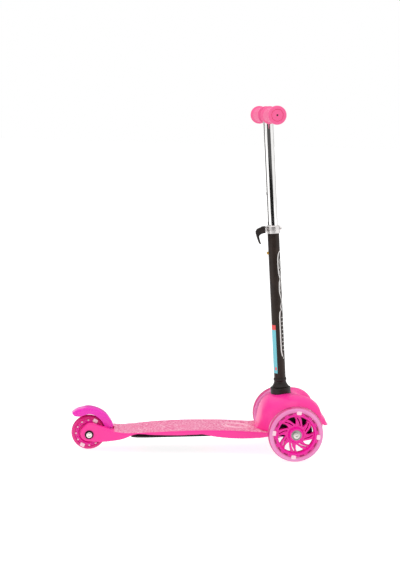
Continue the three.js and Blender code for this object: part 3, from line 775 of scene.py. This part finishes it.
def hood_point(station, angle):
    """A point of a section, from its left foot at -90 degrees over its top to its right foot."""
    x, half, valley, crest = station
    y = half * sqrt(abs(sin(angle))) * (1 if angle > 0 else -1)
    rise = sin(pi / 2 * min(1, abs(y) / CREST_AT)) ** 2
    top = valley + (crest - valley) * rise
    return x, y, HOOD_FOOT + (top - HOOD_FOOT) * sqrt(max(0, cos(angle)))


def foot_angle(station):
    """The angle at which a section meets the hood's lower edge."""
    low, high = 0.3, pi / 2
    for _ in range(30):
        half_way = (low + high) / 2
        if hood_point(station, half_way)[2] > rim_height(station[0]):
            low = half_way
        else:
            high = half_way
    return low


# %% Hood skin
def hood_section(station, count=56):
    reach = foot_angle(station)
    return [hood_point(station, reach * (2 * i / count - 1)) for i in range(count + 1)]


hood_rows = [hood_section(station) for station in hood_stations]
front_edge = [(x + 1.2, y * 0.985, max(69.9, z - 2.5)) for x, y, z in hood_rows[-1]]
hood = add_piece("front_hood", [lofted([*hood_rows, front_edge])], shell_pink, "deck", ["front_housing"],
                 crease=60)
wall = hood.modifiers.new("wall", "SOLIDIFY")
wall.thickness = HOOD_WALL * MM
wall.offset = -1
soft_rim = hood.modifiers.new("soft rim", "BEVEL")
soft_rim.width = 0.8 * MM
soft_rim.segments = 2
soft_rim.angle_limit = radians(55)

# %% [markdown]
# ## Wheels
#
# Each wheel is a pink hub with a clear tyre cast around it. Between them lie lamps that flash as
# the wheel turns. The front hub has eight curved openings with spokes that swirl between them, and
# a narrow slot beside each opening. All of it is drawn flat around the axle, facing outwards.

# %% Wheel parts
def tyre_shape(radius, inner, half):
    """A cast tyre with round shoulders and a slightly crowned tread."""
    side = [
        (inner, -half + 1.6), (radius - 8, -half), (radius - 2.2, -half + 2.4), (radius - 0.35, -half + 7),
    ]
    other = [(r, -height) for r, height in reversed(side)]
    return turned(rounded([*side, (radius, 0), *other], 3.2), 128)


def blocks(angles, radius, length, depth, half):
    """Small rounded blocks set around the rim, long side along it."""
    outline = rounded([
        (-depth / 2, -length / 2), (depth / 2, -length / 2),
        (depth / 2, length / 2), (-depth / 2, length / 2),
    ], min(depth, length) * 0.3)
    flat = plate([outline], half, 0.4)
    return [
        shifted(flat, Matrix.Rotation(radians(angle), 4, "Z") @ Matrix.Translation((radius, 0, 0)))
        for angle in angles
    ]


def swirl(points, turn):
    """An outline given by radius and angle, turned around the axle."""
    return [(r * cos(radians(a + turn)), r * sin(radians(a + turn))) for r, a in points]


def hub_rim(radius, half):
    return turned(rounded([
        (radius, -half), (radius, half), (radius - 3.4, half), (radius - 5.2, half - 3.5),
        (radius - 5.2, 3.5 - half), (radius - 3.4, -half),
    ], 0.9))


def boss(inner, outer, face, web):
    """The raised middle that holds a bearing on each side."""
    slope = [(outer, face), (outer + 1.2, face - 3), (outer + 3.5, web)]
    upper = [(inner, web), (inner, face), *slope]
    return turned(rounded([*upper, *[(r, -height) for r, height in reversed(upper)]], 0.6))


# %% The front hub's web
OPENINGS = 8
FIRST_OPENING = 18


def front_web(rim, half):
    turns = [FIRST_OPENING + turn * 360 / OPENINGS for turn in range(OPENINGS)]
    opening = [(21.5, -15), (29, -16.5), (36, -15), (39.2, -9), (39.4, 4), (38.8, 13), (33, 6), (26, -3)]
    slot = [(20.5, 4), (29, 16.2), (36.6, 26.4), (37.2, 23.2), (29.6, 12.8), (21, -1)]
    openings = [swirl(opening, turn) for turn in turns]
    slots = [swirl(slot, turn) for turn in turns]
    holes = [rounded(outline, 2.2, 3) for outline in openings] + [rounded(outline, 1, 2) for outline in slots]
    return plate([circle(rim - 4.6), circle(12, 48), *holes], half, 0.9)


def spoke_ribs(half):
    """A fine raised line along each spoke, on both faces."""
    ribs = []
    for turn in range(OPENINGS):
        line = [(19.5, 12), (25, 19.5), (31, 26), (37.5, 32)]
        path = [(x, y, half) for x, y in swirl(line, FIRST_OPENING + turn * 360 / OPENINGS)]
        rib = wire(through(path, 4), 0.7)
        ribs += [rib, flipped(rib)]
    return ribs


# %% [markdown]
# A ball bearing shows three rings: the outer race, a thin shield, and the inner race. The bolt that
# holds the wheel has a domed head with a hexagon socket for the key.

# %% Bearings and bolts
BEARING_FACE = 11.3


def bearing_shape(face=BEARING_FACE):
    return turned(rounded([
        (4.15, 4.5), (4.15, face), (6, face), (6.3, face - 0.5), (9, face - 0.5), (9.4, face),
        (11, face), (11, 4.5),
    ], 0.3, 2))


def bolt_head(face, outer=7):
    """A domed head on the face, with a hexagon socket."""
    key = arc(0, 0, 3, 0, 300, 5)
    flange = along(plate([circle(outer), circle(3.1, 24)], 1.1, 0.5), z=face + 1.1)
    cap = along(plate([circle(outer - 1.3), key], 1.0, 0.5), z=face + 2.5)
    floor = turned([(0, face), (3.4, face), (3.4, face + 1.4), (0, face + 1.4)], 32)
    return [flange, cap, floor]


def shank(radius, start, end):
    return turned([(0, start), (radius, start), (radius, end), (0, end)], 48)


# %% Build a wheel
def build_wheel(name, place, radius, rim, half, lamps, slots, slot_paint, tyre_finish, web, lamp_size):
    body = f"{name}_wheel"
    add_piece(f"{name}_clear_tyre", [tyre_shape(radius, rim + 3.8, half)], tyre_finish, body,
              [f"{name}_tyre"], place)
    ring = turned(rounded([(rim + 0.2, -half + 2.2), (rim + 3.6, -half + 2.2),
                           (rim + 3.6, half - 2.2), (rim + 0.2, half - 2.2)], 0.5))
    add_piece(f"{name}_rim_ring", [ring], hub_pink, body, [f"{name}_light_ring"], place)
    add_piece(f"{name}_lamps", blocks(lamps, rim + 4, *lamp_size, half - 0.4), lamp_and_glint_milk, body, where=place)
    # Blocks in the rim's slots: dark magenta painted shade on the front wheels, milky painted highlights on
    # the rear.
    add_piece(f"{name}_slot_shade_and_glints", blocks(slots, rim + 2, *slot_paint[1:], half - 1.9), slot_paint[0], body,
              where=place)
    add_piece(f"{name}_spoked_hub", [hub_rim(rim, half - 2.3), boss(11.2, 14.2, 11.4, 4), *web], hub_pink,
              body, [f"{name}_hub"], place)
    add_piece(f"{name}_near_bearing", [bearing_shape()], bearing_steel, body,
              [f"{name}_outer_bearing"], place)
    add_piece(f"{name}_far_bearing", [flipped(bearing_shape())], bearing_steel, body,
              [f"{name}_inner_bearing"], place)


def around(first, count, skip):
    """Even angles around the wheel, without those that the lamps take."""
    angles = [first + 360 * i / count for i in range(count)]
    return [a for a in angles if round(a - first) % skip]


front_lamps = [85 + 90 * i for i in range(4)]
for side, facing in (("left", FACE_LEFT), ("right", FACE_RIGHT)):
    place = Matrix.Translation(middle(f"{side}_front_tyre")) @ facing
    build_wheel(f"{side}_front", place, 60, 44.6, 12, front_lamps, around(85, 16, 90),
                (slot_shade_paint, 10, 2.2), clear_tyre, [front_web(44.6, 4.2), *spoke_ribs(4.2)], (10.6, 8))
    # A near-black half disc inboard of the hub, behind the upper spoke openings: partly the black truck,
    # partly painted shade under the hood.
    screen = plate([arc(0, 0, 40, -13, 193, 40), circle(6.6, 32)], 0.6, 0.2)
    add_piece(f"{side}_truck_and_shade_screen", [along(screen, z=-17)], deep_black, f"{side}_knuckle", where=place)
    head = bolt_head(BEARING_FACE + 0.3)
    add_piece(f"{side}_wheel_bolt", [*head, shank(3.8, -30, BEARING_FACE + 0.6)], bolt_chrome,
              f"{side}_knuckle", [f"{side}_axle_bolt"], place)

rear_place = Matrix.Translation(middle("rear_tyre")) @ FACE_RIGHT
rear_web = plate([circle(22), circle(12, 48)], 4.2, 0.8)
# The rear rim's slot blocks get the milky finish as painted highlights.
build_wheel("rear", rear_place, 38, 26, 11, [63, 243], around(63, 12, 180), (lamp_and_glint_milk, 3.6, 3.2),
            rear_tyre, [rear_web], (10.4, 8))

# %% [markdown]
# The rear wheel's bolt runs through the fork. Its bright head sits on a black washer ring, which
# stands out strongly against the pink.

# %% Rear axle
FORK_FACE = FORK_HALF + 0.3
for side, facing in (("left", FACE_LEFT), ("right", FACE_RIGHT)):
    place = Matrix.Translation(middle("rear_tyre")) @ facing
    ring = turned(rounded([(4.1, FORK_FACE), (9.4, FORK_FACE), (9.4, FORK_FACE + 1.8),
                           (4.1, FORK_FACE + 1.8)], 0.7))
    add_piece(f"{side}_washer_ring", [ring], deep_black, "deck", [f"{side}_rear_washer"], place)
add_piece("rear_wheel_bolt", [*bolt_head(FORK_FACE + 1.9, 6.4), shank(3.8, -34, FORK_FACE + 2)], bolt_chrome,
          "deck", ["rear_axle_bolt"], rear_place)

# %% [markdown]
# ## The brake fender
#
# The fender over the rear wheel is a brake too: a foot on it presses it on the tyre. It is a curved
# channel with round shoulders, which ends in a kicked-up tail and a bevelled edge. Its skin runs
# over sections that each go up one flange, over the top and down the other flange.

# %% Fender
FENDER_HALF = 14.6
fender_top = through([
    (-187.5, 54.5), (-193, 65.5), (-203.5, 79.5), (-217, 88.6), (-232, 93.8), (-245, 95.2),
    (-258, 92.4), (-269, 89), (-278.6, 81.8),
], 8)
fender_edge = through([
    (-206.5, 51), (-209.5, 57.5), (-214.5, 65.5), (-220.5, 71.5), (-230, 77.8), (-240, 80.4),
    (-251, 78.6), (-262, 74.8), (-273.5, 75.8),
], 8)


def fender_section(top, edge):
    """Up one flange, over the crowned top and down the other, as (x, y, z) points."""
    across = rounded([(-1, 0), (-1, 0.8), (-0.82, 0.985), (0, 1.0), (0.82, 0.985), (1, 0.8), (1, 0)], 0.14)
    section = []
    for y, part in [(-1, 0), *across[5:-5], (1, 0)]:
        x, z = mixed(edge, top, min(1, part))
        section.append((x, y * FENDER_HALF, z))
    return section


sections = [fender_section(top, edge) for top, edge in zip(fender_top, fender_edge)]
FENDER_CREASE = 50  # edges sharper than this many degrees stay crisp
brake = add_piece("fender_shell", [lofted(sections)], clear_fender, "brake", ["brake_fender"],
                  crease=FENDER_CREASE)
wall = brake.modifiers.new("wall", "SOLIDIFY")
wall.thickness = 2.2 * MM
wall.offset = -1
soft_rim = brake.modifiers.new("soft rim", "BEVEL")
soft_rim.width = 0.6 * MM
soft_rim.segments = 3
soft_rim.angle_limit = radians(FENDER_CREASE)

hinge = middle("fender_pin") / MM
PIN_BORE, BARREL, INNER_END = 2.1, 4.4, 5
LUG_HOLE = 2.5  # wider than the bore, so that its rim stays inside the barrel
LUG_WIDTH, LUG_AT = 4.6, 9.8
barrel = turned(rounded([
    (PIN_BORE, INNER_END), (BARREL, INNER_END), (BARREL, FENDER_HALF), (PIN_BORE, FENDER_HALF),
], 0.5), 48)
lug_outline = rounded([(-6, 0), (-3, -3), (2, -3), (4.2, 4), (3.2, 12), (-2, 14)], 2)
lug = plate([lug_outline, circle(LUG_HOLE, 24)], LUG_WIDTH, 0.3)
lugs = [along(lug, z=LUG_AT), along(lug, z=-LUG_AT)]
hinge_place = Matrix.Translation(hinge * MM) @ FACE_RIGHT
add_piece("fender_hinge", [barrel, flipped(barrel), *lugs], clear_fender, "brake", where=hinge_place)

# %% [markdown]
# ## The stem
#
# The black tube stands in a rubber-like ring and cone on top of the hood. All three are turned
# around the leaning stem. The tube's upper edge is hidden under the collar.

# %% Ring, cone and tubes
RING = {"outer": 22.3, "low": -24.1, "high": -8.4}
ring_shape = turned(rounded([
    (13.1, RING["low"]), (RING["outer"], RING["low"]), (RING["outer"], RING["high"]), (13.1, RING["high"]),
], 1.8))
cone_shape = turned(rounded([
    (13.1, -8.2), (18, -8.2), (18.2, -6), (16.6, -3.6), (14.7, -0.5), (13.6, 3), (13.3, 5.6),
    (14.3, 7.4), (14.3, 10.4), (13.5, 12.2), (13.1, 12.2),
], 0.6))
add_piece("stem_ring_round", [ring_shape], black_plastic, "deck", ["stem_ring"], stem)
add_piece("stem_cone_round", [cone_shape], black_plastic, "deck", ["stem_cone"], stem)


def pipe(outer, inner, start, end):
    return turned(rounded([(inner, start), (outer, start), (outer, end), (inner, end)], 0.5), 128)


def drill(tube, radius, heights):
    """Drills holes into the rear of a tube for the height button."""
    to_rear = Matrix.Rotation(-pi / 2, 4, "Y")
    for height in heights:
        bit = [along(shifted(turned([(0, 0), (radius, 0), (radius, 20), (0, 20)], 32), to_rear), z=height)]
        combine(tube, add_piece("drill", bit, None, None, where=stem), "DIFFERENCE")
    tube.data.shade_smooth()
    tube.data.set_sharp_from_angle(angle=radians(30))


BUTTON_AT = 291
lower_tube = add_piece("lower_tube", [pipe(12.75, 11.45, TUBE_FOOT, TUBE_TOP)], black_paint, "deck",
                       ["outer_tube"], stem)
drill(lower_tube, 3.8, [BUTTON_AT])
sliding_tube = add_piece("sliding_tube", [pipe(11.15, 9.6, 190, 590)], chrome, "handlebar",
                         ["inner_tube"], stem)
drill(sliding_tube, 3.9, [BUTTON_AT, BUTTON_AT + 65, BUTTON_AT + 130])

# %% [markdown]
# A printed label and a silver line pattern decorate the tube. Each is a very thin skin wrapped
# around it, so its edges stay sharp at any distance. The pattern is made up for this lesson.

# %% Prints on the tube
PRINT_LOW = 12.78
PRINT_HIGH = 12.92


def wrapped(rows):
    """A thin closed skin on the tube over rows of (angle in degrees, height) points."""
    layers = []
    for radius in (PRINT_LOW, PRINT_HIGH):
        layers.append([
            [(radius * cos(radians(a)), radius * sin(radians(a)), s) for a, s in row] for row in rows
        ])
    sections = [low + high[::-1] for low, high in zip(*layers)]
    return lofted(sections, closed=True)


def label(first, last, low, high):
    """A patch of the tube between two angles and two heights."""
    across = [first + (last - first) * i / 16 for i in range(17)]
    return wrapped([[(a, s) for a in across] for s in (low, high)])


def line(path, width=1.5):
    """A line of even width along a path of (angle, height) points."""
    per_degree = PRINT_HIGH * pi / 180
    rows = []
    for i, (a, s) in enumerate(path):
        before, after = path[max(0, i - 1)], path[min(len(path) - 1, i + 1)]
        step = Vector(((after[0] - before[0]) * per_degree, after[1] - before[1])).normalized() * width / 2
        rows.append([(a - step.y / per_degree, s + step.x), (a + step.y / per_degree, s - step.x)])
    return wrapped(rows)


# %% Label and pattern
FRONT = 0
add_piece("tube_label", [label(-188, -120, 24, 121)], label_blue, "deck", where=stem)
add_piece("tube_label_marks", [label(-188, -120, 121.3, 132), label(-146, -128, 31, 38)], label_red, "deck",
          where=stem)


def mirrored_lines(path, width=1.5):
    """A line on the right of the tube's front and its twin on the left."""
    return [line(path, width), line([(2 * FRONT - a, s) for a, s in path], width)]


frame_line = [(-2, 57), (-46, 57), (-62, 63), (-71, 72), (-73, 90), (-73, 150), (-68, 160), (-46, 166)]
wave = through([
    (-46, 166), (-55, 172), (-40, 184), (-52, 196), (-62, 206), (-60, 224), (-48, 234), (-60, 244),
    (-66, 262), (-64, 280), (-52, 290), (-30, 294), (-2, 294),
])
bars = [line([(-54, s), (-34, s)], 2.6) for s in range(76, 152, 9)]
bars += [line([(34, s), (54, s)], 2.6) for s in range(76, 152, 9)]
curls = [line(through([(-50, s), (-38, s + 8), (-48, s + 16), (-30, s + 22)]), 1.2) for s in (206, 232, 256)]
lines = [*mirrored_lines(frame_line, 2.6), *mirrored_lines(wave, 2.3), *bars, *curls]
add_piece("tube_pattern", lines, silver_line, "deck", where=stem)

# %% [markdown]
# ## Collar, lever and button
#
# A split collar squeezes the black tube around the sliding one. The quick-release lever pulls its
# two ears together. Below it, a brass button springs out and sets the handlebar's height.

# %% Collar and lever
COLLAR = {"low": 334, "high": 351, "outer": 15}
collar_shape = turned(rounded([
    (12.9, COLLAR["low"]), (COLLAR["outer"], COLLAR["low"]), (COLLAR["outer"], COLLAR["high"] - 1.4),
    (COLLAR["outer"] - 1.6, COLLAR["high"]), (11.5, COLLAR["high"]), (11.5, 348.5), (12.9, 348.5),
], 0.7))
EAR_AT = 344.2
ear = plate([rounded([(-26, -6), (-13, -6), (-13, 6), (-26, 6)], 3)], 2.2, 0.7)
ear_turn = Matrix.Translation((0, 0, EAR_AT)) @ FACE_RIGHT
ears = [shifted(ear, ear_turn @ Matrix.Translation((0, 0, z))) for z in (4.3, -4.3)]
add_piece("collar", [collar_shape, *ears], bright_steel, "deck", ["clamp_collar"], stem)

lever_outline = [
    (-19.6, 351.6), (-25, 351.2), (-37, 346.5), (-40.6, 341.5), (-40.4, 336), (-38.4, 328),
    (-34.6, 315.6), (-32.4, 312.8), (-30.4, 313.4), (-32.2, 320), (-34, 329.6), (-32.6, 333),
    (-26, 336), (-19.6, 336.8),
]
LEVER_AT = 12
lever_body = plate([rounded(lever_outline, 1.8)], 4.9, 0.9)
grip_dish = plate([rounded([(-26, 339.5), (-36.5, 340), (-38, 346), (-28, 349)], 2)], 5.2, 0.5)
lever_place = FACE_RIGHT @ Matrix.Translation((0, 0, LEVER_AT))
lever_shapes = [shifted(shape, lever_place) for shape in (lever_body, grip_dish)]
add_piece("release_lever", lever_shapes, black_plastic, "quick_release", ["lever"], stem)

# %% Height button and clamp screw
to_rear = Matrix.Translation((0, 0, BUTTON_AT)) @ Matrix.Rotation(-pi / 2, 4, "Y")
button_shape = turned(rounded([(0, 11.6), (3.2, 11.6), (3.2, 15.2), (2.4, 16.4), (0, 16.5)], 0.7), 48)
add_piece("brass_button", [shifted(button_shape, to_rear)], brass, "height_button", ["height_button"], stem)
SCREW_AT = 343.3
to_front = Matrix.Translation((0, 0, SCREW_AT)) @ Matrix.Rotation(pi / 2, 4, "Y")
screw_shape = turned(rounded([(0, 14), (4.2, 15.2), (4.2, 18.6), (3.2, 19.4), (0, 19.4)], 0.6), 48)
add_piece("collar_screw", [shifted(screw_shape, to_front)], bright_steel, "deck", ["clamp_screw"], stem)

# %% [markdown]
# ## Crossbar and grips
#
# The crossbar is chromed like the sliding tube. Each grip is turned foam with a flange at its inner
# end, fine ribs for the fingers, and a mushroom-shaped end with a ring and a small hole in it.

# %% Crossbar and grips
BAR_AT = 590
cross = Matrix.Translation((0, 0, BAR_AT * MM))
add_piece("cross_tube", [pipe(11, 9.4, -116, 116)], chrome, "handlebar", ["crossbar"],
          stem @ cross @ FACE_RIGHT)


def grip_profile():
    """The closed outline of a grip, from its inner flange to its mushroom end."""
    ribs = [(14.9 + 0.35 * cos(tau * i / 6), 28 + i * 0.7) for i in range(113)]
    flange = rounded([(11.2, 20), (19, 20), (19, 23), (15.4, 26.5), (15, 27.6)], 1.4)[5:-5]
    end = rounded([
        (15.1, 107.4), (16.4, 109.8), (19.7, 112.4), (19.7, 116.4), (18, 119), (12.9, 119),
        (12.4, 117.2), (12, 117.2), (11.5, 119), (2.2, 119), (2, 118.4), (2, 115), (11.2, 115),
    ], 0.9)[5:]
    return [(11.2, 20), *flange, *ribs, *end, (11.2, 115)]


for side, facing in (("left", FACE_LEFT), ("right", FACE_RIGHT)):
    add_piece(f"{side}_foam_grip", [turned(grip_profile())], foam, "handlebar", [f"{side}_grip"],
              stem @ cross @ facing)

# %% [markdown]
# ## Rubber bumpers
#
# Two rubber pads under the hood centre the lean. When the rider leans, the beam presses into one of
# them, and a real pad flattens towards its fixed upper face. Here each pad is a turned solid that keeps its
# shape.

# %% Bumpers
for side in ("left", "right"):
    low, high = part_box(f"{side}_bumper")
    pad_radius, pad_height = (high.x - low.x) / 2 / MM, (high.z - low.z) / MM
    pad_shape = turned(rounded([
        (0, 0), (pad_radius - 0.5, 0), (pad_radius, pad_height / 2), (pad_radius - 0.5, pad_height),
        (0, pad_height),
    ], 0.8), 48)
    foot = Vector(((low.x + high.x) / 2, (low.y + high.y) / 2, low.z))
    pad = add_piece(f"{side}_rubber_pad", [pad_shape], rubber, "deck", [f"{side}_bumper"],
                    Matrix.Translation(foot))
    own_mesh(pad)

# %% [markdown]
# ## Parts that keep their shape
#
# The parts under the hood and the small fasteners already have the right shape. Each gets its
# finish and smooth shading on its round faces, and all but the spring get a fine bevel so that their edges
# catch the light.

# %% Finish the remaining parts
KEPT = {
    black_plastic: [
        "under_plate", "neck_block", "truck_beam", "left_knuckle", "right_knuckle", "glide_bushing",
    ],
    bright_steel: [
        "plate_screw_rear", "plate_screw_front", "lean_bolt", "lean_nut", "clamp_bolt", "clamp_nut",
        "rear_axle_nut", "fender_pin", "fender_spring", "lever_pin", "tie_rod",
        "left_kingpin", "right_kingpin", "left_tie_pin", "right_tie_pin",
    ],
    bearing_steel: ["left_front_spacer", "right_front_spacer", "rear_spacer"],
}
SMOOTH_TO, BEVEL_FROM = radians(38), radians(42)
FINE_EDGE = 0.35
for finish, names in KEPT.items():
    for name in names:
        part = nodes[name]
        part.data.materials.clear()
        part.data.materials.append(finish.material)
        part.data.shade_smooth()
        part.data.set_sharp_from_angle(angle=SMOOTH_TO)
        if name != "fender_spring":
            edges = part.modifiers.new("fine edges", "BEVEL")
            edges.width = FINE_EDGE * MM
            edges.segments = 2
            edges.angle_limit = BEVEL_FROM
print("parts kept:", sum(len(names) for names in KEPT.values()))

# %% [markdown]
# ## Studio
#
# The scooter stands on a white floor in a white room, lit softly from above and from the left.
# Chrome shows what is around it, and in a room that is white all over it would vanish. So dark
# cards stand in front of it, at both sides and behind, and only reflections see them. From an angle
# that no card serves, the tube still fades into the white. The floor glows a little so that it comes
# out white, and it is hidden from soft bounced light, so that it doesn't light the scooter's underside.

# %% Floor, cards and lights
world = bpy.data.worlds.new("white room")
world.use_nodes = True
world.node_tree.nodes["Background"].inputs["Color"].default_value = (1, 1, 1, 1)
world.node_tree.nodes["Background"].inputs["Strength"].default_value = 1.0
bpy.context.scene.world = world
bpy.context.scene.view_settings.view_transform = "Standard"


def studio_sheet(name, width, height, place, turn, tone, roughness, glow=0.0):
    """A flat sheet of the studio, with a little unevenness in its tone. It may glow from below."""
    sheet = bpy.data.meshes.new(name)
    x, y = width / 2, height / 2
    sheet.from_pydata([(-x, -y, 0), (x, -y, 0), (x, y, 0), (-x, y, 0)], [], [(0, 1, 2, 3)])
    paper = Finish(name, "", {
        "Roughness": roughness, "Specular IOR Level": 0.0,
        "Emission Color": (1, 1, 1, 1), "Emission Strength": glow,
    })
    light, dark = (tone, tone, tone, 1), (tone * 0.97, tone * 0.97, tone * 0.97, 1)
    paper.use(Base_Color=paper.mix(paper.noise(2), light, dark))
    sheet.materials.append(paper.material)
    thing = bpy.data.objects.new(name, sheet)
    thing.location = place
    thing.rotation_euler = turn
    bpy.context.scene.collection.objects.link(thing)
    return thing


floor = studio_sheet("floor", 60, 60, (0, 0, -0.0005), (0, 0, 0), 0.5, 0.9, 0.8)
floor.visible_diffuse = False


def dark_card(name, width, height, angle, distance, middle_height, tone):
    """An upright card that only reflections see, at an angle around the stem from straight ahead."""
    turn = radians(angle)
    place = (0.15 + distance * sin(turn), -distance * cos(turn), middle_height)
    card = studio_sheet(name, width, height, place, (pi / 2, 0, turn), tone, 1.0)
    card.visible_camera = False
    card.visible_diffuse = False
    card.visible_shadow = False
    card.visible_transmission = False


dark_card("main_card", 3.9, 1.3, -8, 2.4, -0.05, 0.012)
dark_card("upper_card", 3.9, 0.6, -8, 2.4, 0.9, 0.09)
dark_card("left_edge_card", 1.2, 2.4, -120, 2.0, 0.7, 0.05)
dark_card("rear_card", 1.6, 2.4, 175, 2.6, 0.5, 0.3)
dark_card("right_edge_card", 0.7, 2.4, 118, 2.0, 0.7, 0.4)


def soft_light(name, place, size, power):
    lamp = bpy.data.lights.new(name, "AREA")
    lamp.shape = "DISK"
    lamp.size = size
    lamp.energy = power
    light = bpy.data.objects.new(name, lamp)
    light.location = place
    light.rotation_euler = (Vector((0, 0, 0.2)) - Vector(place)).to_track_quat("-Z", "Y").to_euler()
    bpy.context.scene.collection.objects.link(light)


soft_light("overhead", (-0.3, -0.6, 2.4), 1.6, 7)
soft_light("left", (-2.2, -1.8, 1.3), 1.2, 2)

# %% [markdown]
# ## Camera
#
# The camera stands a little behind the scooter's middle and above the deck, looks slightly forward
# and down, and is far enough away that the wheels look round.

# %% Camera
YAW, PITCH, ROLL = radians(6.87), radians(7.27), radians(1.82)
ahead = Vector((sin(YAW) * cos(PITCH), cos(YAW) * cos(PITCH), -sin(PITCH)))
level = Vector((cos(YAW), -sin(YAW), 0))
upward = level.cross(ahead)
right = level * cos(ROLL) + upward * sin(ROLL)
up = upward * cos(ROLL) - level * sin(ROLL)
camera = bpy.data.objects.new("camera", bpy.data.cameras.new("camera"))
camera.matrix_world = Matrix.Translation((-0.3498, -2.8191, 0.7327)) @ Matrix(
    (right, up, -ahead)).transposed().to_4x4()
camera.data.lens = 82.98
camera.data.sensor_width = 36
camera.data.shift_x = 0.0028
camera.data.shift_y = -0.0037
bpy.context.scene.collection.objects.link(camera)
bpy.context.scene.camera = camera
print("camera placed")
